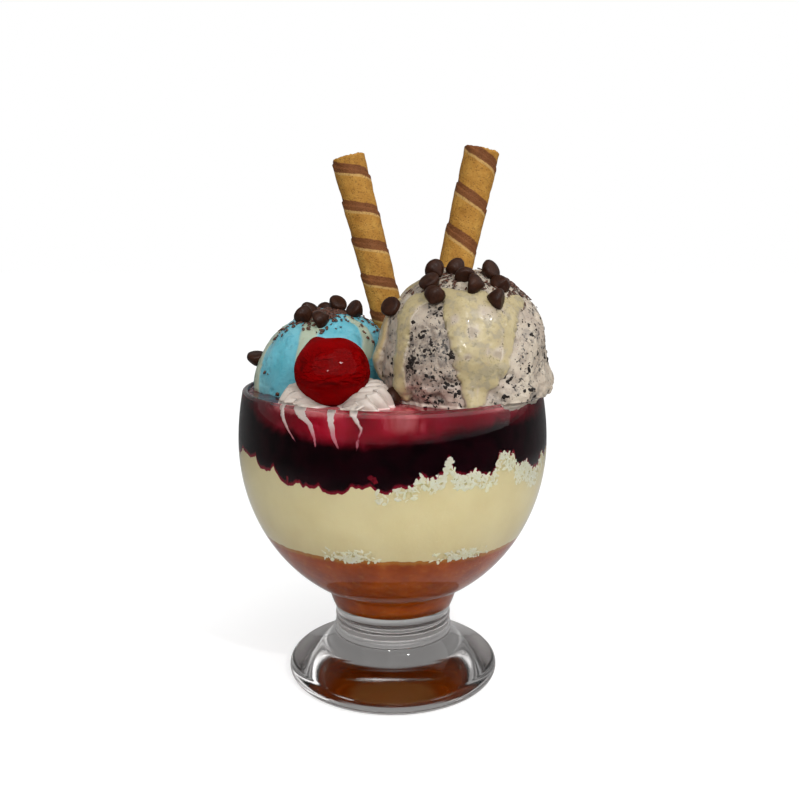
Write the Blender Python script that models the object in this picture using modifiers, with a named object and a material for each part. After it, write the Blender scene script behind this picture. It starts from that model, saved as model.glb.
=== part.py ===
"""Ice cream sundae, built together with its footed glass bowl.

From the bottom up: a solid glass foot and neck, a round bowl, then orange fruit puree, pale cream and
dark berry sauce in layers. Two scoops of ice cream sit in the berry sauce with a piped rosette of
whipped cream in front of them. A cherry rests on the rosette, chocolate chips lie on the scoops and two
rolled wafers are stuck in beside them.

Units are metres. The origin is the middle of the foot's flat underside and +Z is up. The front of the
sundae, with the rosette, faces -Y.
"""

import math

import bmesh
import bpy
from mathutils import Matrix, Vector, noise
from mathutils.bvhtree import BVHTree

MM = 0.001
GAP = 0.3 * MM  # clearance kept between pieces that touch

# Glass: an ellipse up to the belly, then a slow closing towards the rim.
SEGMENTS = 32
RIM_TOP = 105.3 * MM
BELLY_HEIGHT = 86.0 * MM
BELLY_RADIUS = 54.05 * MM
BOWL_DEPTH = 59.0 * MM
RIM_CLOSING = 5.37  # loss of radius above the belly, per metre of rise squared
NECK_TOP = 33.0 * MM

# Inside of the glass: the wall is 2.5 mm at the belly, 2.2 mm at the rim and thicker low down.
CAVITY_RADIUS = 51.5 * MM
CAVITY_DEPTH = 56.2 * MM
CAVITY_CLOSING = 4.3
RIM_BEAD = 1.1 * MM
WELL_TOP = 33.5 * MM
WELL_FLOOR = 25.5 * MM

# Neck and foot of the glass.
FOOT_RADIUS = 37.9 * MM
FOOT_EDGE = 2.8 * MM  # radius of the foot's rounded edge
NECK_OUTLINE = [(22.3, 28.4), (20.9, 24.6), (20.8, 20.5), (21.5, 16.0), (25.2, 11.3), (30.2, 8.0)]

# Levels of the layers at the wall.
PUREE_LEVEL = 57.6 * MM
CREAM_LEVEL = 87.3 * MM
SAUCE_LEVEL = 103.6 * MM
# Where the berry sauce has sunk into the cream: azimuth in degrees, depth in mm, half-width in degrees.
SAUCE_DIPS = [(-108, 7.0, 33), (-27, 4.5, 14), (55, 5.0, 30), (130, 4.0, 25)]
FLAT_RING = 0.6  # where a layer's flat faces have their ring, as a share of the radius

# Scoops: a centre, a radius and a flat base that stands in the berry sauce.
SCOOP_BASE = 94.0 * MM
COOKIE_CENTRE = Vector((23.4, -12.0, 118.0)) * MM
COOKIE_RADIUS = 28.3 * MM
BLUE_CENTRE = Vector((-23.0, 9.0, 106.0)) * MM
BLUE_RADIUS = 26.3 * MM
SAUCE_SKIN = 1.8 * MM  # berry sauce left between a scoop and the glass

# Lumps on the scoops: azimuth and elevation in degrees, height in mm, spread in degrees.
COOKIE_LUMPS = [(-5, -22, 3.6, 15), (-30, -27, 3.0, 13), (-57, -28, 4.6, 13), (-84, -34, 4.2, 15)]
BLUE_LUMPS = [(185, -2, 1.0, 24), (175, 38, -1.3, 26), (-90, 86, -1.2, 35), (-90, 45, 0.8, 26)]

# Whipped cream rosette and the cherry on it.
ROSETTE_CENTRE = Vector((-17.8, -31.3, 0.0)) * MM
ROSETTE_BASE = 89.0 * MM
ROSETTE_TOP = 111.0 * MM
ROSETTE_PRESS = 6.5 * MM  # how much lower the top is at the front, where the cherry presses it down
PRESS_HEADING = math.radians(-105)
PRESS_WIDTH = math.radians(50)
ROSETTE_RADIUS = 18.6 * MM
ROSETTE_RIDGES = 12
RIDGE_DEPTH = 0.13  # of the rosette's radius
RIDGE_TWIST = math.radians(55)
CHERRY_CENTRE = Vector((-18.9, -30.0, 114.4)) * MM
CHERRY_RADIUS = 12.0 * MM
CHERRY_HEIGHT = 22.4 * MM

# Rolled wafers: the middle of the upper end, the lean towards +X and the height of the lower end.
WAFER_RADIUS = 6.15 * MM
WAFER_BORE = 4.4 * MM
WAFER_BORE_DEPTH = 3.9 * MM
WAFER_CHAMFER = 0.7 * MM
WAFERS = {
    "wafer_left": (Vector((-16.3, 22.0, 185.7)) * MM, math.radians(-14.0), 90.0 * MM),
    "wafer_right": (Vector((30.9, 5.0, 186.4)) * MM, math.radians(12.7), 118.0 * MM),
}

# Chocolate chips: a teardrop, and for each chip the azimuth and elevation of its middle, its tilt and the
# heading of the tilt.
CHIP_OUTLINE = [(0.0, 0.0), (2.5, 0.15), (3.1, 1.3), (2.4, 3.1), (1.0, 4.8), (0.0, 5.6)]
CHIP_SIDES = 8
CHIP_MIDDLE = 2.2 * MM
CHIP_ROOM = 1.16  # a chip swollen about its middle by this keeps its gap
CHIP_START = 1.0 * MM  # how far inside a scoop's mean radius a chip starts, before it moves out
CHIP_STEP = 0.1 * MM
CHIP_STEPS = 150
COOKIE_CHIPS = [
    (-117, 41, 45, 80),
    (-126, 51, 48, 100),
    (-136, 65, 35, 110),
    (-92, 63, 105, 320),
    (-108, 75, 100, 180),
    (-82, 51, 60, 130),
    (-45, 68, 12, 60),
    (95, 10, 100, 0),
    (-47, 55, 112, 20),
    (-67, 41, 110, 320),
    (-157, 32, 20, 180),
    (60, 28, 20, 90),
    (130, 32, 110, 160),
]
NESTLED_CHIP = (-143, -21, 60, 200)  # pressed into the rosette where it meets the cookie scoop
BLUE_CHIPS = [
    (-95, 57, 100, 150),
    (62, 42, 112, 120),
    (-126, 62, 95, 190),
    (-175, 74, 100, 160),
    (55, 80, 95, 170),
    (-22, 67, 25, 150),
    (-171, 17, 112, 100),
    (100, 60, 15, 60),
    (125, 30, 110, 30),
]


# ---------------------------------------------------------------- helpers


def clear_scene():
    for old in list(bpy.data.objects):
        bpy.data.objects.remove(old, do_unlink=True)


def new_collection(name):
    made = bpy.data.collections.new(name)
    bpy.context.scene.collection.children.link(made)
    return made


def finish_material(name, colour, roughness, metallic=0.0, alpha=1.0):
    """A Principled material; colour is linear RGB."""
    made = bpy.data.materials.new(name)
    made.use_nodes = True
    shader = made.node_tree.nodes["Principled BSDF"]
    shader.inputs["Base Color"].default_value = (*colour, 1.0)
    shader.inputs["Roughness"].default_value = roughness
    shader.inputs["Metallic"].default_value = metallic
    shader.inputs["Alpha"].default_value = alpha
    made.diffuse_color = (*colour, alpha)
    return made


def add_object(name, mesh, collection, material=None, smooth_angle=math.radians(50)):
    made = bpy.data.objects.new(name, mesh)
    collection.objects.link(made)
    if material:
        mesh.materials.append(material)
    mesh.shade_smooth()
    mesh.set_sharp_from_angle(angle=smooth_angle)
    return made


def make_cutter(thing):
    thing.hide_render = True
    thing.display_type = "WIRE"
    return thing


def shaped_ball(name, segments, rings, place):
    """A UV sphere whose every vertex goes where place(azimuth, station) says.

    station counts the rings from 0, the lower pole, to the number of rings, the upper pole.
    """
    shape = bmesh.new()
    bmesh.ops.create_uvsphere(shape, u_segments=segments, v_segments=rings, radius=1.0)
    for vertex in shape.verts:
        azimuth = math.atan2(vertex.co.y, vertex.co.x)
        polar = math.acos(max(-1.0, min(1.0, -vertex.co.z)))
        vertex.co = place(azimuth, round(polar / math.pi * rings))
    bmesh.ops.triangulate(shape, faces=shape.faces[:])
    mesh = bpy.data.meshes.new(name)
    shape.to_mesh(mesh)
    shape.free()
    return mesh


def turned(name, outline, collection, material=None, segments=SEGMENTS):
    """Turn an outline of (radius, height) points about Z with a Screw modifier."""
    mesh = bpy.data.meshes.new(name)
    edges = [(i, i + 1) for i in range(len(outline) - 1)]
    mesh.from_pydata([(radius, 0.0, height) for radius, height in outline], edges, [])
    made = add_object(name, mesh, collection, material)
    screw = made.modifiers.new("turn", "SCREW")
    screw.steps = screw.render_steps = segments
    screw.use_merge_vertices = True
    screw.merge_threshold = 0.00001
    screw.use_smooth_shade = True
    return made


def cut(target, *cutters):
    """Subtract each cutter from the target."""
    for cutter in cutters:
        boolean = target.modifiers.new("cut_" + cutter.name, "BOOLEAN")
        boolean.operation = "DIFFERENCE"
        boolean.object = cutter


def grown(source, distance, collection):
    """A cutter: the source's shape before its own cuts, swollen by a distance."""
    made = bpy.data.objects.new(source.name + "_room", source.data.copy())
    collection.objects.link(made)
    made.matrix_world = source.matrix_world
    swell = made.modifiers.new("swell", "DISPLACE")
    swell.strength = distance
    swell.mid_level = 0.0
    return make_cutter(made)


def arc(centre, radius, start, end, count):
    """Points on a circle's arc, from one angle to another in degrees."""
    for step in range(count + 1):
        angle = math.radians(start + (end - start) * step / count)
        yield centre[0] + radius * math.cos(angle), centre[1] + radius * math.sin(angle)


def direction(azimuth, elevation):
    """Unit vector at an azimuth and elevation in degrees."""
    flat = math.cos(math.radians(elevation))
    turn = math.radians(azimuth)
    return Vector((flat * math.cos(turn), flat * math.sin(turn), math.sin(math.radians(elevation))))


def world_tree(thing):
    """Search tree of an object's evaluated faces in world space."""
    bpy.context.view_layer.update()
    evaluated = thing.evaluated_get(bpy.context.evaluated_depsgraph_get())
    mesh = evaluated.to_mesh()
    points = [thing.matrix_world @ vertex.co for vertex in mesh.vertices]
    faces = [tuple(face.vertices) for face in mesh.polygons]
    evaluated.to_mesh_clear()
    return BVHTree.FromPolygons(points, faces)


# ---------------------------------------------------------------- glass


def glass_radius(height):
    """Radius of the bowl's outside at a height above the neck."""
    rise = height - BELLY_HEIGHT
    if rise >= 0:
        return BELLY_RADIUS - RIM_CLOSING * rise * rise
    return BELLY_RADIUS * math.sqrt(1 - (rise / BOWL_DEPTH) ** 2)


def cavity_radius(height):
    """Radius of the bowl's inside: the ellipse of the bowl over a rounded well in the neck."""
    rise = height - BELLY_HEIGHT
    if rise >= 0:
        return CAVITY_RADIUS - CAVITY_CLOSING * rise * rise
    ellipse = CAVITY_RADIUS * math.sqrt(1 - (max(height, WELL_TOP) - BELLY_HEIGHT) ** 2 / CAVITY_DEPTH**2)
    if height >= WELL_TOP:
        return ellipse
    depth = min(1.0, (WELL_TOP - height) / (WELL_TOP - WELL_FLOOR))
    return ellipse * (1 - depth**3) ** (1 / 3)


def bowl_heights(low, high, count):
    """Heights spaced closer near the neck, where the bowl turns fastest."""
    return [low + (high - low) * (step / count) ** 1.5 for step in range(count + 1)]


def glass_outline():
    rim_centre = RIM_TOP - RIM_BEAD
    rim_radius = glass_radius(rim_centre) - RIM_BEAD
    well = [WELL_FLOOR + (WELL_TOP - WELL_FLOOR) * share for share in (0.03, 0.12, 0.3, 0.6)]
    inside = well + bowl_heights(WELL_TOP, rim_centre, 12)[:-1]
    outline = [(0.0, WELL_FLOOR)]
    outline += [(cavity_radius(height), height) for height in inside]
    outline += arc((rim_radius, rim_centre), RIM_BEAD, 180, 0, 4)
    outline += [(glass_radius(height), height) for height in bowl_heights(NECK_TOP, rim_centre, 12)[-2::-1]]
    outline += [(radius * MM, height * MM) for radius, height in NECK_OUTLINE]
    edge_centre = (FOOT_RADIUS - FOOT_EDGE, FOOT_EDGE)
    outline += arc(edge_centre, FOOT_EDGE, 80, -90, 5)
    outline.append((0.0, 0.0))
    return outline


def make_glass(collection):
    material = finish_material("clear_glass", (0.85, 0.87, 0.87), 0.05, alpha=0.35)
    return turned("glass", glass_outline(), collection, material)


def make_wall_room(name, inset, cutters, outside):
    """A cutter for the room that the wall takes near the rim, wider by an inset on its inside.

    outside(height) is its outer radius.
    """
    low = 80.0 * MM
    heights = [low + step * (RIM_TOP + GAP - low) / 5 for step in range(6)]
    outline = [(cavity_radius(height) - inset, height) for height in heights]
    outline += [(outside(height), height) for height in reversed(heights)]
    outline.append(outline[0])
    return make_cutter(turned(name, outline, cutters))


# ---------------------------------------------------------------- layers


def layer_radius(height):
    """Radius of a layer's wall, a gap away from the glass along the wall's normal."""
    reach = 0.2 * MM
    slope = (cavity_radius(height + reach) - cavity_radius(height - reach)) / (2 * reach)
    return cavity_radius(height) - GAP * math.sqrt(1 + slope * slope)


def layer_place(low, high, between):
    """How a ball's vertices go onto a layer between two surfaces, low and high, given as height(azimuth).

    The wall takes a ring at either surface and one at each height between them. The flat faces run
    straight from the wall to their middle, with one ring on the way.
    """
    quarters = [k * math.pi / 2 for k in range(4)]
    last = len(between) + 5

    def place(azimuth, station):
        surface = low if station <= 1 else high
        middle = Vector((0.0, 0.0, sum(surface(quarter) for quarter in quarters) / 4))
        if station in (0, last):
            return middle
        heights = [low(azimuth), *between, high(azimuth)]
        height = heights[min(max(station - 2, 0), last - 4)]
        radius = layer_radius(height)
        point = Vector((radius * math.cos(azimuth), radius * math.sin(azimuth), height))
        return middle.lerp(point, FLAT_RING) if station in (1, last - 1) else point

    return place


def puree_top(azimuth):
    """The puree's surface: nearly level, with a slow roll."""
    return PUREE_LEVEL + 0.8 * MM * math.sin(azimuth - 0.4) + 0.4 * MM * math.sin(3 * azimuth)


def cream_top(azimuth):
    """The cream's surface: lower where the sauce sinks in, with lobes all round."""
    level = CREAM_LEVEL + 0.8 * MM * math.sin(11 * azimuth + 1.0)
    for middle, depth, width in SAUCE_DIPS:
        away = math.remainder(azimuth - math.radians(middle), math.tau)
        level -= depth * MM * math.exp(-((away / math.radians(width)) ** 2))
    return level


def make_layer(name, low, high, between, material, collection):
    rings = len(between) + 5
    mesh = shaped_ball(name, SEGMENTS, rings, layer_place(low, high, between))
    return add_object(name, mesh, collection, material)


def make_layers(collection):
    puree = finish_material("orange_puree", (0.42, 0.12, 0.02), 0.35)
    cream = finish_material("pale_cream", (0.68, 0.58, 0.34), 0.45)
    sauce = finish_material("berry_sauce", (0.06, 0.003, 0.012), 0.25)
    well_rings = [WELL_FLOOR + (WELL_TOP - WELL_FLOOR) * share for share in (0.2, 0.45, 0.7, 1.0)]
    puree_rings = well_rings + [36.0 * MM, 40.0 * MM, 48.0 * MM]
    cream_rings = [63.0 * MM, 69.0 * MM, 75.0 * MM]
    sauce_rings = [91.0 * MM, 96.5 * MM]
    make_layer("fruit_puree", lambda _: WELL_FLOOR + GAP, puree_top, puree_rings, puree, collection)
    make_layer("cream_layer", lambda a: puree_top(a) + GAP, cream_top, cream_rings, cream, collection)
    return make_layer(
        "berry_layer", lambda a: cream_top(a) + GAP, lambda _: SAUCE_LEVEL, sauce_rings, sauce, collection
    )


# ---------------------------------------------------------------- scoops


def scoop_surface(heading, radius, lumps, roughness, shift):
    """Distance from a scoop's centre to its surface along a unit vector."""
    swell = noise.noise(heading * 2.3 + Vector((shift, 0.0, 0.0))) * roughness
    for azimuth, elevation, height, spread in lumps:
        angle = heading.angle(direction(azimuth, elevation))
        swell += height * MM * math.exp(-((angle / math.radians(spread)) ** 2))
    return radius + swell


def make_scoop(name, centre, radius, lumps, roughness, shift, material, collection):
    segments, rings = 26, 15

    def place(azimuth, station):
        elevation = -90 + 180 * station / rings
        heading = direction(math.degrees(azimuth), elevation)
        point = heading * scoop_surface(heading, radius, lumps, roughness, shift)
        point.z = max(point.z, SCOOP_BASE - centre.z)
        return point

    mesh = shaped_ball(name, segments, rings, place)
    scoop = add_object(name, mesh, collection, material)
    scoop.location = centre
    return scoop


# ---------------------------------------------------------------- rosette and cherry


def rosette_outline(share):
    """Radius of the smooth rosette, as a share of the widest, from its base (0) to its top (1)."""
    return math.sqrt(max(0.0, 1 - (abs(share - 0.42) / 0.66) ** 2.6))


def make_rosette(name, ridges, collection, material=None, swell=0.0):
    """Cream piped through a star nozzle: ridges that twist as they rise. ridges=0 gives its smooth hull."""
    segments, rings = 48, 8

    def place(azimuth, station):
        share = station / rings
        radius = ROSETTE_RADIUS * rosette_outline(0.03 + 0.9 * share) + swell
        if station in (0, rings):
            radius = 0.0
        if ridges:
            wave = abs(math.cos(ridges / 2 * (azimuth + RIDGE_TWIST * share)))
            radius *= 1 - RIDGE_DEPTH * (1 - wave)
        away = math.remainder(azimuth - PRESS_HEADING, math.tau)
        pressed = 0.0 if station == rings else ROSETTE_PRESS * math.exp(-((away / PRESS_WIDTH) ** 2))
        top = ROSETTE_TOP - pressed
        height = ROSETTE_BASE - swell + (top - ROSETTE_BASE + 2 * swell) * share
        return Vector((radius * math.cos(azimuth), radius * math.sin(azimuth), height))

    mesh = shaped_ball(name, segments if ridges else segments // 2, rings, place)
    rosette = add_object(name, mesh, collection, material)
    rosette.location = ROSETTE_CENTRE
    return rosette


def make_cherry(collection):
    """A slightly squashed ball with a hollow where the stalk was and a small bump beside it."""
    material = finish_material("red_cherry", (0.22, 0.001, 0.004), 0.12)
    stalk = direction(125, 78)
    bump = direction(150, 62)

    def place(azimuth, station):
        heading = direction(math.degrees(azimuth), -90 + 18 * station)
        dip = 1.6 * MM * math.exp(-((heading.angle(stalk) / math.radians(16)) ** 2))
        rise = 1.3 * MM * math.exp(-((heading.angle(bump) / math.radians(17)) ** 2))
        point = heading * (CHERRY_RADIUS - dip + rise)
        point.z *= CHERRY_HEIGHT / (2 * CHERRY_RADIUS)
        return point

    cherry = add_object("cherry", shaped_ball("cherry", 18, 10, place), collection, material)
    cherry.location = CHERRY_CENTRE
    return cherry


# ---------------------------------------------------------------- wafers


def wafer_matrix(top, lean):
    return Matrix.Translation(top) @ Matrix.Rotation(lean, 4, "Y")


def make_wafer(name, collection, material):
    """A rolled tube with its open end on top; the solid is closed a little way down the bore."""
    top, lean, foot = WAFERS[name]
    length = (top.z - foot) / math.cos(lean)
    outline = [
        (0.0, -WAFER_BORE_DEPTH),
        (WAFER_BORE, -WAFER_BORE_DEPTH),
        (WAFER_BORE, -WAFER_CHAMFER / 2),
        (WAFER_RADIUS - WAFER_CHAMFER, 0.0),
        (WAFER_RADIUS, -WAFER_CHAMFER),
        (WAFER_RADIUS, -length),
        (0.0, -length),
    ]
    wafer = turned(name, outline, collection, material, segments=16)
    wafer.matrix_world = wafer_matrix(top, lean)
    return wafer


def make_socket(name, cutters):
    """A cutter for the hole that a wafer makes in what it is stuck into."""
    top, lean, foot = WAFERS[name]
    length = (top.z - foot) / math.cos(lean) + GAP
    outline = [(0.0, 0.0), (WAFER_RADIUS + GAP, 0.0), (WAFER_RADIUS + GAP, -length), (0.0, -length)]
    socket = turned(name + "_socket", outline, cutters, segments=16)
    socket.matrix_world = wafer_matrix(top, lean)
    return make_cutter(socket)


# ---------------------------------------------------------------- chocolate chips


def chip_mesh(material):
    def place(azimuth, station):
        radius, height = CHIP_OUTLINE[station]
        return Vector((radius * math.cos(azimuth), radius * math.sin(azimuth), height)) * MM

    mesh = shaped_ball("chip", CHIP_SIDES, len(CHIP_OUTLINE) - 1, place)
    mesh.materials.append(material)
    return mesh


def chip_matrix(centre, out, distance, tilt, heading):
    """Stand a chip on a point away from a centre, then tip it about its middle by an angle towards a heading."""
    stand = out.to_track_quat("Z", "Y").to_matrix().to_4x4()
    axis = Vector((-math.sin(math.radians(heading)), math.cos(math.radians(heading)), 0.0))
    tip = Matrix.Rotation(math.radians(tilt), 4, axis)
    middle = Vector((0.0, 0.0, CHIP_MIDDLE))
    lift = Matrix.Translation(middle)
    return Matrix.Translation(centre + out * distance) @ stand @ lift @ tip @ Matrix.Translation(-middle)


def encloses(tree, point):
    """Whether a closed surface holds a point near it, from the way its nearest face looks."""
    nearest, normal, _, _ = tree.find_nearest(point, 2 * CHIP_MIDDLE)
    return nearest is not None and (point - nearest).dot(normal) < 0


def settle_chip(mesh, centre, reach, lie, obstacles):
    """Move a chip out along its line from the scoop's centre until it lies a gap away from what is there."""
    azimuth, elevation, tilt, heading = lie
    out = direction(azimuth, elevation)
    middle = Vector((0.0, 0.0, CHIP_MIDDLE))
    room = Matrix.Translation(middle) @ Matrix.Scale(CHIP_ROOM, 4) @ Matrix.Translation(-middle)
    faces = [tuple(face.vertices) for face in mesh.polygons]
    for step in range(CHIP_STEPS):
        matrix = chip_matrix(centre, out, reach - CHIP_START + step * CHIP_STEP, tilt, heading)
        corners = [matrix @ room @ vertex.co for vertex in mesh.vertices]
        tree = BVHTree.FromPolygons(corners, faces)
        inside = any(encloses(other, matrix @ middle) for other in obstacles)
        if not inside and not any(tree.overlap(other) for other in obstacles):
            break
    return matrix


def make_chips(prefix, centre, reach, lies, mesh, obstacles, collection):
    for number, lie in enumerate(lies, start=1):
        chip = bpy.data.objects.new(f"{prefix}_{number:02d}", mesh)
        collection.objects.link(chip)
        chip.matrix_world = settle_chip(mesh, centre, reach, lie, obstacles)
        obstacles.append(world_tree(chip))


# ---------------------------------------------------------------- the sundae


def build():
    clear_scene()
    sundae = new_collection("ice_cream_sundae")
    cutters = new_collection("cutters")
    cutters.hide_render = True

    make_glass(sundae)
    berry_layer = make_layers(sundae)

    cookie_ice = finish_material("cookie_ice_cream", (0.60, 0.52, 0.45), 0.6)
    blue_ice = finish_material("blue_ice_cream", (0.10, 0.42, 0.50), 0.5)
    cookie = make_scoop(
        "scoop_cookie", COOKIE_CENTRE, COOKIE_RADIUS, COOKIE_LUMPS, 1.6 * MM, 4.0, cookie_ice, sundae
    )
    blue = make_scoop("scoop_blue", BLUE_CENTRE, BLUE_RADIUS, BLUE_LUMPS, 1.0 * MM, 9.0, blue_ice, sundae)
    white = finish_material("whipped_cream", (0.72, 0.65, 0.60), 0.45)
    rosette = make_rosette("whipped_cream", ROSETTE_RIDGES, sundae, white)
    cherry = make_cherry(sundae)

    biscuit = finish_material("wafer", (0.52, 0.27, 0.07), 0.7)
    wafers = [make_wafer(name, sundae, biscuit) for name in WAFERS]
    left_socket, right_socket = [make_socket(name, cutters) for name in WAFERS]

    bpy.context.view_layer.update()
    cookie_room = grown(cookie, GAP, cutters)
    blue_room = grown(blue, GAP, cutters)
    cherry_room = grown(cherry, GAP, cutters)
    rosette_room = make_cutter(make_rosette("rosette_room", 0, cutters, swell=GAP))
    scoop_wall = make_wall_room("wall_room_scoops", SAUCE_SKIN, cutters, lambda z: glass_radius(z) + GAP)
    rosette_wall = make_wall_room("wall_room_rosette", GAP, cutters, lambda _: 75.0 * MM)

    cut(cookie, scoop_wall, right_socket)
    cut(blue, cookie_room, left_socket, scoop_wall)
    cut(berry_layer, cookie_room, blue_room, rosette_room, left_socket)

    chocolate = finish_material("chocolate", (0.045, 0.018, 0.012), 0.45)
    chip = chip_mesh(chocolate)
    obstacles = [world_tree(thing) for thing in (cookie, blue, cherry, berry_layer, *wafers)]
    make_chips("chip_nestled", COOKIE_CENTRE, COOKIE_RADIUS, [NESTLED_CHIP], chip, obstacles, sundae)
    nestled_room = grown(bpy.data.objects["chip_nestled_01"], GAP, cutters)
    cut(rosette, cherry_room, blue_room, cookie_room, nestled_room, rosette_wall)
    obstacles.append(world_tree(rosette))
    make_chips("chip_cookie", COOKIE_CENTRE, COOKIE_RADIUS, COOKIE_CHIPS, chip, obstacles, sundae)
    make_chips("chip_blue", BLUE_CENTRE, BLUE_RADIUS, BLUE_CHIPS, chip, obstacles, sundae)


build()
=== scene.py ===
"""Looks of an ice cream sundae in a footed glass bowl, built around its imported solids.

Everything is in metres in the solids' own frame: the origin is the middle of the foot's underside, +Z is up
and the front, with the rosette and the cherry, faces -Y. Sizes in millimetres are multiplied by MM.
"""
import math
import random

import bmesh
import bpy
import numpy as np
from mathutils import Matrix, Vector, noise


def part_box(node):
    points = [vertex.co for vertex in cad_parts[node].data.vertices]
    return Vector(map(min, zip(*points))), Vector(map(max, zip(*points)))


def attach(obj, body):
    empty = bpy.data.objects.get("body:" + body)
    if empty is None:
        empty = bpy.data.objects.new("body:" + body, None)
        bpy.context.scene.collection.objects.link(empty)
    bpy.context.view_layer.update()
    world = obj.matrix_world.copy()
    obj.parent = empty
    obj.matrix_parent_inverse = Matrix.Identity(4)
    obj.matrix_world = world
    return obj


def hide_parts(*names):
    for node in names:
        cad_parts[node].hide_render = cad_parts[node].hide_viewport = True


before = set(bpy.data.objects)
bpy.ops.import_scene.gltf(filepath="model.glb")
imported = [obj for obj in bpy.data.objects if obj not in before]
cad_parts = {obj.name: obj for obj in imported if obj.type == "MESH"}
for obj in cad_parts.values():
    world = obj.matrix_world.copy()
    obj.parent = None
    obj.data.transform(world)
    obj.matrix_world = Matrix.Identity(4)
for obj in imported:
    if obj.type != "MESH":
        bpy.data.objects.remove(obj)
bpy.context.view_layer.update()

MM = 0.001
TURN = 2 * math.pi
BODY = "root"

# The glass, by the same rules as its solid.
RIM_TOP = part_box("glass")[1].z
BELLY_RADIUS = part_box("glass")[1].x
BELLY_HEIGHT = 86.0 * MM
BOWL_DEPTH = 59.0 * MM
RIM_CLOSING = 5.37
NECK_TOP = 33.0 * MM
CAVITY_RADIUS = 51.5 * MM
CAVITY_DEPTH = 56.2 * MM
CAVITY_CLOSING = 4.3
RIM_BEAD = 1.1 * MM
WELL_TOP = 33.5 * MM
WELL_FLOOR = 25.5 * MM
FOOT_RADIUS = 37.9 * MM
FOOT_EDGE = 2.8 * MM
NECK_OUTLINE = [(30.2, 8.0), (25.2, 11.3), (21.5, 16.0), (20.8, 20.5), (20.9, 24.6), (22.3, 28.4)]
NECK_RINGS = [17.4 * MM, 22.0 * MM]  # faint moulded rings round the neck
INTO_WALL = 0.25 * MM  # how far the fillings reach into the glass, so that no air gap shows

# Levels of the layers at the wall.
PUREE_LEVEL = 57.6 * MM
SAUCE_LEVEL = 103.6 * MM
# The berry sauce's lower edge hangs in rounded lobes: azimuth in degrees, height in mm, half-width in degrees.
FRONT_LOBES = [
    (-157, 86.8, 7), (-149, 86.0, 6), (-140, 83.4, 5), (-127, 80.4, 5), (-119, 80.5, 4), (-109, 79.3, 5),
    (-101, 81.3, 4), (-92, 80.5, 4), (-85, 82.3, 4), (-77, 84.7, 4), (-64, 85.0, 4), (-57, 84.0, 4),
    (-47, 89.0, 6), (-38, 84.8, 4), (-29, 82.0, 5), (-18, 84.2, 5), (-8, 85.5, 5),
]
# Where the dark sauce turns crimson: base height in mm, then azimuth, rise and half-width of its waves.
CRIMSON_LEVEL = 96.4 * MM
CRIMSON_WAVES = [(-49, 2.7, 22), (-102, -2.2, 16), (-75, -0.5, 10), (-160, 6.0, 14), (-14, 3.0, 14)]
# Where the crimson is brightest: azimuth, strength and half-width in degrees.
VIVID_SPOTS = [(-113, 1.0, 11), (-88, 0.75, 13), (-131, 0.25, 8), (-55, 0.35, 16)]

# Scoops, by the same rules as their solids.
SCOOP_BASE = 94.0 * MM
COOKIE_CENTRE = Vector((23.4, -12.0, 118.0)) * MM
COOKIE_RADIUS = 28.3 * MM
COOKIE_LUMPS = [(-5, -22, 3.6, 15), (-30, -27, 3.0, 13), (-57, -28, 4.6, 13), (-84, -34, 4.2, 15)]
BLUE_CENTRE = Vector((-23.0, 9.0, 106.0)) * MM
BLUE_RADIUS = 26.3 * MM
BLUE_LUMPS = [(185, -2, 1.0, 24), (175, 38, -1.3, 26), (-90, 86, -1.2, 35), (-90, 45, 0.8, 26)]

# Rosette and cherry.
ROSETTE_CENTRE = Vector((-17.8, -31.3, 0.0)) * MM
ROSETTE_BASE = 89.0 * MM
ROSETTE_TOP = 111.0 * MM
ROSETTE_PRESS = 6.5 * MM
PRESS_HEADING = math.radians(-105)
PRESS_WIDTH = math.radians(58)
SEAT_DEPTH = 2.8 * MM  # how far the cream sinks in front of the cherry, inside the rosette's edge
ROSETTE_RADIUS = 18.6 * MM
ROSETTE_RIDGES = 20
RIDGE_TWIST = math.radians(32)
RIDGE_SHIFT = math.radians(-14)
# Where its ridges touch the glass: strips of azimuth in degrees, height and half-width in mm, from the rim down.
CREAM_STRIPS = [
    [(-132.5, 106, 1.5), (-130.5, 101, 1.1), (-127, 97, 0.8), (-123.5, 94, 0.5)],
    [(-124.5, 106, 2.6), (-122.5, 102.5, 2.2), (-118.5, 100, 1.3), (-116.5, 96, 0.8), (-116, 93, 0.5)],
    [(-111, 106, 1.6), (-110.5, 101, 1.3), (-109.5, 97, 1.0), (-107.5, 93.5, 0.7)],
    [(-103, 106, 1.5), (-103, 103.5, 1.3), (-100, 100, 0.8), (-101, 96, 0.7), (-101.5, 93, 0.5)],
]
CHERRY_CENTRE = Vector((-18.9, -30.0, 114.4)) * MM
CHERRY_RADIUS = 12.0 * MM
CHERRY_HEIGHT = 22.4 * MM

# Rolled wafers: middle of the upper end, lean towards +X, height of the lower end, pitch of the stripe.
WAFER_RADIUS = 6.15 * MM
WAFER_BORE = 4.2 * MM
WAFER_BORE_DEPTH = 3.9 * MM
WAFERS = {
    "wafer_left": (Vector((-16.3, 22.0, 185.7)) * MM, math.radians(-14.0), 90.0 * MM, 13.6 * MM, 0.12),
    "wafer_right": (Vector((30.9, 5.0, 186.4)) * MM, math.radians(12.7), 118.0 * MM, 14.3 * MM, -0.08),
}


# ---------------------------------------------------------------- nodes as expressions


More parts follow.
